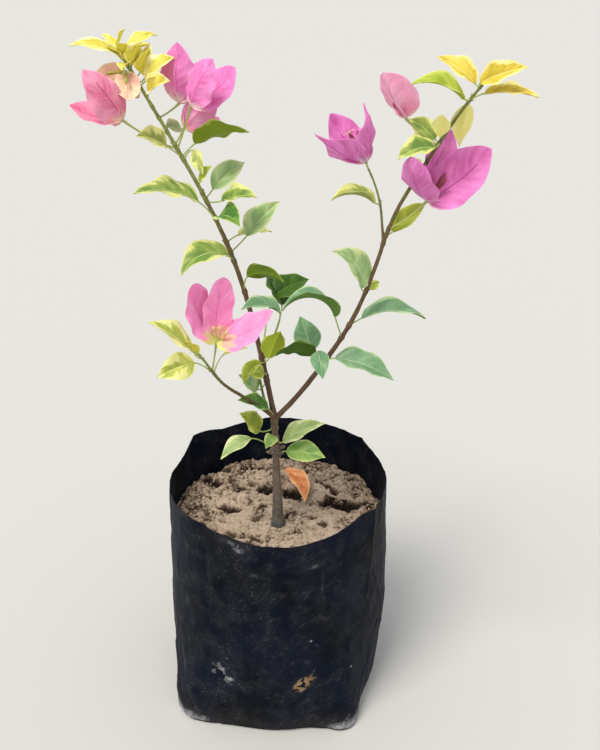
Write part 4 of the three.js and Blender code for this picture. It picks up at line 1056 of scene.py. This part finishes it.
def makeFilmMaterial():
    material, tree, shader = newMaterial("polyethyleneFilmBlown")
    spot = addNode(tree, "TexCoord", {}, "Object")
    height = addNode(tree, "SeparateXYZ", {"Vector": spot}, "Z")
    worn, scuffAndSheen, torn = (addNode(tree, "Attribute", {"attribute_name": key}, "Fac")
                           for key in ("worn", "scuffAndSheen", "torn"))
    grain = {}
    for name, (size, detail, rough, *drawn) in filmLook["grains"].items():
        way = spot
        if drawn:
            turn, stretch = drawn
            way = addNode(tree, "Mapping", {
                "vector_type": "TEXTURE", "Rotation": tuple(radians(angle) for angle in turn),
                "Scale": (1, 1, stretch), "Vector": spot})
        grain[name] = addNode(tree, "TexNoise", {"Scale": 1 / (size * mm), "Detail": detail,
                                                 "Roughness": rough, "Vector": way})
    streaks, smears, grit = grain["streaks"], grain["smears"], grain["grit"]
    tone = addNode(tree, "ValToRGB", {"Fac": grain["clouds"]},
                   stops=[(0.3, filmLook["black"]), (0.58, filmLook["blue"])])
    # Dust lies where streaks and smears meet, and splashed earth up to about 25 mm from the ground
    rubbed = addNode(tree, "Math", {"operation": "MULTIPLY", 0: streaks, 1: smears})
    veil = addNode(tree, "MapRange", {"From Min": 0.12, "From Max": 0.46, "To Max": 0.55, "Value": rubbed})
    low = addNode(tree, "MapRange", {"From Min": filmLook["splashTop"] * mm, "From Max": 2 * mm,
                                     "To Max": 0.5, "Value": height})
    splash = addNode(tree, "Math", {"operation": "MULTIPLY", 0: low, 1: grit})
    # Fine scratches about 1 mm apart, only where the film is smeared
    sharp = addNode(tree, "MapRange", {"From Min": 0.56, "From Max": 0.78, "Value": grain["scratches"]})
    smeared = addNode(tree, "MapRange", {"From Min": 0.42, "From Max": 0.78, "To Max": 0.3, "Value": smears})
    scratched = addNode(tree, "Math", {"operation": "MULTIPLY", 0: sharp, 1: smeared})
    hazy = addNode(tree, "Math", {"operation": "MULTIPLY_ADD", 0: smeared, 1: 0.1, 2: scratched})
    # Tan soil in shreds through the frayed tear
    shredded = addNode(tree, "Math", {"operation": "MULTIPLY", 0: torn, 1: grit})
    through = addNode(tree, "MapRange", {"From Min": 0.22, "From Max": 0.46, "To Max": 0.9,
                                         "Value": shredded})
    # The milky marks, with the painted sheen and highlights among them, break up into scratches and specks
    marked = addNode(tree, "Math", {"operation": "MAXIMUM", 0: worn, 1: scuffAndSheen})
    speckle = addNode(tree, "Math", {"operation": "MULTIPLY", 0: grit, 1: streaks})
    broken = addNode(tree, "Math", {"operation": "MULTIPLY", 0: marked, 1: speckle})
    specks = addNode(tree, "MapRange", {"From Min": 0.11, "From Max": 0.36, "To Max": 0.8, "Value": broken})
    milky = addNode(tree, "Math", {"operation": "MULTIPLY_ADD", 0: marked, 1: 0.06, 2: specks})
    # The stress tone paints the milky stress marks and also the painted sheen and highlights
    layers = ("dust", veil), ("earth", splash), ("stressAndSheen", hazy), ("backing", through), ("stressAndSheen", milky)
    for key, share in layers:
        tone = addNode(tree, "Mix", {"data_type": "RGBA", "A": tone, "B": linear(filmLook[key]),
                                     "Factor": share})
    matt = addNode(tree, "MapRange", {"To Min": filmLook["roughness"], "To Max": filmLook["dustyRoughness"],
                                      "Value": veil})
    relief = addNode(tree, "Math", {"operation": "MULTIPLY_ADD", 0: grit, 1: 0.35, 2: streaks})
    bump = addNode(tree, "Bump", {"Strength": 0.4, "Distance": 0.3 * mm, "Height": relief})
    addNode(tree, shader, {"IOR": 1.51, "Specular IOR Level": filmLook["shine"], "Base Color": tone,
                           "Roughness": matt, "Normal": bump})
    return material


def makeBag(material):
    around = np.arange(bag["around"]) / bag["around"] * 360
    outside = np.concatenate([[0, 0.5, 1.2, 2.1, 3], np.linspace(4.2, bag["rim"], bag["up"])])
    inside = np.concatenate([np.linspace(bag["rim"], 128, bag["inside"]), [90, 40, 12, 2.0]])
    outer, marks = filmPoints(*np.meshgrid(around, outside), 0)
    inner, _ = filmPoints(*np.meshgrid(around, inside), bag["film"])
    inner[-1, :, 2] = bag["film"]
    ends = [[bag["footShift"], 0, 0], [bag["footShift"], 0, bag["film"]]]
    sheaf = newSheaf()
    addTo(sheaf, *cappedRings(np.concatenate([outer, inner]), ends), "film")
    plain = np.zeros(inner[..., 0].size + 2)
    marks = {key: np.concatenate([found.reshape(-1), plain]) for key, found in marks.items()}
    makePiece("grow_bag_film", sheaf, {"film": material}, ["grow_bag"], marks, 40)


makeBag(makeFilmMaterial())
print("grow bag is formed")


# The soil, sandy and dried pale on top, dark in its holes, partly damp and partly painted shade. slack is the
# gap that it leaves to the film below its top, shrink is how far its top dips beside the film, and wander is
# how far the edges of its hollows stray.
soil = {
    "around": 460, "rings": 150, "crowd": 0.85, "lumps": 0.96, "stemPad": 9, "grain": 0.75, "clod": 1.0,
    "crack": 1.5, "slack": 2.0, "sides": (2.5, 12, 34, 76, 120), "shrink": 2.2, "deepest": 7,
    "clodSize": 7.5, "grainSize": 2.3, "wander": 3.4, "crackGap": 16,
    # Hollows: x, y, half length, half width, turn in degrees, depth
    "hollows": [
        (10, 27, 9, 9, 10, 9), (43, 27, 10, 6, 80, 6), (42, 15, 11, 7, -22, 9), (55, 10, 10, 7, -6, 8),
        (36, 39, 12, 5, -73, 8), (64, 12, 10, 3, 12, 5), (-9, 33, 8, 7, -10, 8), (-20, 40, 8, 2.6, 8, 3.4),
        (-55, 44, 12, 5.5, -35, 8), (-34, 30, 6, 4.5, 0, 5.2), (-40, 9, 10, 4.5, -24, 5.6),
        (-13, 8, 4, 3.6, 0, 4.2), (34, -14, 5, 3.2, 10, 4), (26, -4, 6, 3.4, 20, 3.4),
        (6, -2, 12, 1.8, 34, 3.0), (8, -26, 11, 1.8, 36, 2.6), (22, 58, 7, 4, 0, 5.5),
        (63, 34, 5, 3.4, 50, 4.4), (-50, 62, 10, 6, -30, 5.5), (-42, -10, 5, 3, 0, 2.4),
        (-64, 20, 6, 4, 60, 3.4), (-22, 62, 9, 5, 5, 4.2), (-72, -6, 4, 9, 0, 3.2), (18, -48, 6, 2, 10, 1.9),
        (-34, -27, 6, 4, 30, 3.0), (72, 4, 4, 14, 8, 3.5), (60, 46, 8, 4, -40, 3.6), (-14, -4, 4, 6, 0, 2.8),
        (-4, 64, 9, 4, 0, 3.4),
    ],
}


# Height of the soil's surface, and how far it is darkened there by painted shade and damp
def soilHeight(x, y):
    spots = np.stack([x, y, np.zeros_like(x)], -1)
    lumps = np.sin(x / 9.5 + 1.3) * np.cos(y / 8 - 0.6) + 0.6 * np.sin((x + 2 * y) / 13)
    calm = ease(soil["stemPad"], 2.2 * soil["stemPad"], np.hypot(x - stemSpot[0], y - stemSpot[1]))
    clods, grain = roughen(spots, soil["clodSize"], 41, 3), roughen(spots, soil["grainSize"], 47, 3)
    # Loose and coarse along the back and the sides of the bag and in patches, and washed smooth elsewhere
    wall = ease(44, 74, np.hypot(x, y)) * (1 - ease(-15, -52, y)) + 0.5 * ease(-30, -72, x)
    loose = ease(0.08, 0.6, 0.8 * roughen(spots, 15, 53, 3) + 0.8 * wall + 0.1 * ease(-20, 30, y))
    height = soilTop + soil["lumps"] * calm * lumps \
        + (clods * soil["clod"] + grain * soil["grain"]) * (0.35 + 1.1 * loose)
    # The hollows' edges wander by a few millimetres, and cracks run where the noise changes sign
    wander = [roughen(spots + shift, 7, 71, 3) * soil["wander"] for shift in (0, 150)]
    sunk = np.zeros_like(x)
    for hx, hy, longer, wider, turn, depth in soil["hollows"]:
        far = ellipseReach(x - hx + wander[0], y - hy + wander[1], longer, wider, turn)
        sunk = np.maximum(sunk, depth * (1 - ease(0.45, 1.1, far)) * (1 + 0.3 * grain))
    cracks = bell(roughen(spots, soil["crackGap"], 83, 3), 0.07) * ease(0.0, 0.5, clods + 0.3) \
        * (0.5 + 0.5 * loose)
    sunk = sunk + soil["crack"] * cracks * calm
    # Between the loose clods it is darker, partly damp and partly painted shade, and the hollows add painted
    # shade
    dampAndShade = loose * np.maximum(1.3 - 2.0 * grain - 1.4 * clods, 0) + 0.5 * np.maximum(-grain, 0)
    return height - sunk, sunk + dampAndShade


# Sandy loam: matt quartz grit held by clay, so it is a dull grey tan with dark damp specks, and lighter
# where it crusted. Its two darkest tones also paint the shade in its hollows.
soilLook = {"crust": "c4b09b", "dry": "a5917c", "dampAndShade": "564534", "wetAndShade": "241b13", "clouds": 22, "sand": 1.3,
            "specks": 2.4}


def makeSoilMaterial(name="sandyLoam", lighter=0.0):
    material, tree, shader = newMaterial(name)
    spot = addNode(tree, "TexCoord", {}, "Object")
    sunk = addNode(tree, "Attribute", {"attribute_name": "sunk"}, "Fac")
    clouds = addNode(tree, "TexNoise", {"Scale": 1 / (soilLook["clouds"] * mm), "Detail": 4.0,
                                        "Vector": spot})
    # Sand is 0.3 mm; it is drawn 1.3 mm so that it shows
    sand = addNode(tree, "TexNoise", {"Scale": 1 / (soilLook["sand"] * mm), "Detail": 8.0, "Roughness": 0.75,
                                      "Vector": spot})
    specks = addNode(tree, "TexVoronoi", {"Scale": 1 / (soilLook["specks"] * mm), "Vector": spot})
    tone = sand
    # sunk darkens the soil: painted shade in its hollows, and damp and shade between its clods
    for part, share in ((clouds, 0.6), (specks, -0.16), (sunk, -0.6)):
        tone = addNode(tree, "Math", {"operation": "MULTIPLY_ADD", 0: part, 1: share, 2: tone})
    ramp = addNode(tree, "ValToRGB", {"Fac": tone}, stops=[
        (0.28 - lighter, soilLook["wetAndShade"]), (0.47 - lighter, soilLook["dampAndShade"]),
        (0.64 - lighter, soilLook["dry"]), (0.86, soilLook["crust"])])
    relief = addNode(tree, "Math", {"operation": "MULTIPLY_ADD", 0: specks, 1: 0.4, 2: sand})
    bump = addNode(tree, "Bump", {"Strength": 0.9, "Distance": 0.8 * mm, "Height": relief})
    addNode(tree, shader, {"Roughness": 0.95, "Specular IOR Level": 0.25, "Base Color": ramp, "Normal": bump})
    return material


# A ring of places just inside the film at one height
def ringInside(around, level, gap):
    return filmPoints(around, np.full(len(around), float(level)), bag["film"] + gap)[0]


def makeSoil(material):
    around = np.arange(soil["around"]) / soil["around"] * 360
    wall = ringInside(around, soilTop, 0.1)
    shares = np.linspace(0, 1, soil["rings"] + 1)[1:] ** soil["crowd"]
    x, y = np.outer(shares, wall[:, 0]), np.outer(shares, wall[:, 1])
    height, sunk = soilHeight(x, y)
    # The soil has shrunk away from the film and dips unevenly beside it
    dip = soil["shrink"] + 1.6 * roughen(np.stack([x, y, 0 * x], -1), 12, 61, 2)
    height = height - ease(0.93, 1.0, shares)[:, None] * dip
    sides = np.array([ringInside(around, level, soil["slack"]) for level in soil["sides"]])
    centre, centreSunk = soilHeight(np.array([0.0]), np.array([0.0]))
    ends = [[bag["footShift"], 0, soil["sides"][0]], [0, 0, centre[0]]]
    sheaf = newSheaf()
    addTo(sheaf, *cappedRings(np.concatenate([sides, np.stack([x, y, height], -1)[::-1]]), ends), "soil")
    # The soil's darkening, painted shade in the hollows with damp and shade between the clods, goes to its
    # material
    dampAndShade = np.concatenate([np.zeros(sides[..., 0].size), sunk[::-1].reshape(-1), [0], centreSunk])
    dampAndShade = dampAndShade / soil["deepest"]
    makePiece("potting_soil_bed", sheaf, {"soil": material}, ["potting_soil"], {"sunk": dampAndShade}, 80)


# Crumbs of soil lie where the photograph shows it loose: by the wall, and round the places in near, each
# (x, y, spread)
crumbs = {"count": 3400, "small": 0.5, "large": 3.1, "fine": 1.3, "reach": 77.5, "lumpy": 0.22, "stemGap": 5,
          "near": [(0, -18, 12), (-64, 14, 18), (4, -34, 20), (52, 44, 18), (-20, 52, 16)],
          # A pale root that arches over the right-hand hollow: compass turns along it, from its left end
          "root": {"from": (31.5, 41), "heading": (-84, -70, -48, -14, 4), "length": 36,
                   "thick": (1.3, 2.1, 1.7), "ends": (143.6, 142.4), "arch": 1.2, "points": 30}}


def pebble(rounds):
    shape = bmesh.new()
    bmesh.ops.create_icosphere(shape, subdivisions=rounds, radius=1)
    corners = np.array([v.co[:] for v in shape.verts])
    faces = [[v.index for v in face.verts] for face in shape.faces]
    shape.free()
    return corners, faces


def scatterCrumbs(materials):
    coarse, fine = pebble(1), pebble(2)
    sheaf = newSheaf()
    keys = [key for key in materials if key.startswith("crumb")]
    furthest = crumbs["reach"]
    for number in range(crumbs["count"]):
        if number % 3 == 1:     # round one of the loose places
            cx, cy, spread = crumbs["near"][rng.integers(len(crumbs["near"]))]
            x, y = cx + rng.normal(0, spread * 0.6), cy + rng.normal(0, spread * 0.6)
        else:     # all over, or along the wall
            turn, allOver = rng.uniform(0, 2 * pi), number % 3 == 0
            reach = furthest * sqrt(rng.uniform(0, 1)) if allOver else furthest - abs(rng.normal(0, 5))
            x, y = reach * cos(turn), reach * sin(turn)
        size = crumbs["small"] + (crumbs["large"] - crumbs["small"]) * rng.uniform(0, 1) ** 4
        stretch, key = rng.uniform(0.6, 1.25, 3), keys[rng.integers(len(keys))]
        fromStem = np.hypot(x - stemSpot[0], y - stemSpot[1])
        if np.hypot(x, y) > furthest + 0.7 - size or fromStem < crumbs["stemGap"] + size:
            continue
        height, _ = soilHeight(np.array([x]), np.array([y]))
        corners, faces = fine if size > crumbs["fine"] else coarse
        lumps = 1 + crumbs["lumpy"] * roughen(corners + number * 3.7, 1.1, 3, 2)
        crumb = corners * lumps[:, None] * stretch * size / 2
        addTo(sheaf, crumb + (x, y, height[0] + size * 0.16), faces, key)
    root = crumbs["root"]
    t = np.linspace(0, 1, root["points"])
    turns = np.radians(along(root["heading"], t))
    steps = np.stack([np.cos(turns), np.sin(turns)], -1) * root["length"] / root["points"]
    level = along(root["ends"], t) + root["arch"] * np.sin(pi * t)
    radii = along(root["thick"], t) / 2 * (1 + 0.12 * mottle(np.outer(t * 20, (1, 0, 0)), 9))
    path = np.column_stack([np.array(root["from"]) + np.cumsum(steps, 0), level])
    addTo(sheaf, *tube(path, radii, 9), "root")
    makePiece("soil_crumbs", sheaf, materials, (), {"sunk": np.zeros(sheaf["count"])}, 60)


makeSoil(makeSoilMaterial())
scatterCrumbs({
    "crumbDry": makeSoilMaterial("loamCrumbDry", 0.1), "crumbMid": makeSoilMaterial("loamCrumbMid"),
    "crumbDamp": makeSoilMaterial("loamCrumbDamp", -0.12), "root": makeSoilMaterial("deadRoot", 0.16),
})
print("soil is filled in")


# The dry leaf that stands on its edge on the soil: brittle and curled, matt dull orange with paler patches.
# blade is as for the leaves, and bend is how far it curls round along its length, in degrees.
dryLeaf = {"base": (4, 53, 149), "blade": (48, 15, -2, -42, 8, 2, 24), "bend": -56, "cream": 0.12,
           "seed": 977, "colours": ("c67a48", "dc9a66", "e2ac7c", "b9683c", "a86438"), "roughness": 0.75,
           "glow": 0.25, "soakDepth": 0.5, "blotch": 5, "mottled": (0.8, 1.12)}


def layDryLeaf():
    finish = {"Roughness": dryLeaf["roughness"], "Subsurface Weight": dryLeaf["glow"],
              "Subsurface Scale": dryLeaf["soakDepth"] * mm}
    blotch = {"Scale": 1 / (dryLeaf["blotch"] * mm), "Detail": 6.0}
    made = {f"dry_{place}": softSkin(f"dryLeaf_{place}", colour, "TexNoise", blotch, (0.5, 0.2), finish,
                                     dryLeaf["mottled"])
            for place, colour in leafColours(*dryLeaf["colours"]).items()}
    made["stalk_shade0"] = made["dry_rib"]
    sheaf = newSheaf()
    stub = (0.5, 0, dryLeaf["blade"][3])
    addLeaf(sheaf, np.array(dryLeaf["base"], float), stub, dryLeaf["blade"], "dry", dryLeaf["cream"],
            dryLeaf["seed"], dryLeaf["bend"])
    makePiece("fallen_dry_leaf", sheaf, made, ["fallen_leaf"])


layDryLeaf()
print("dry leaf is laid")
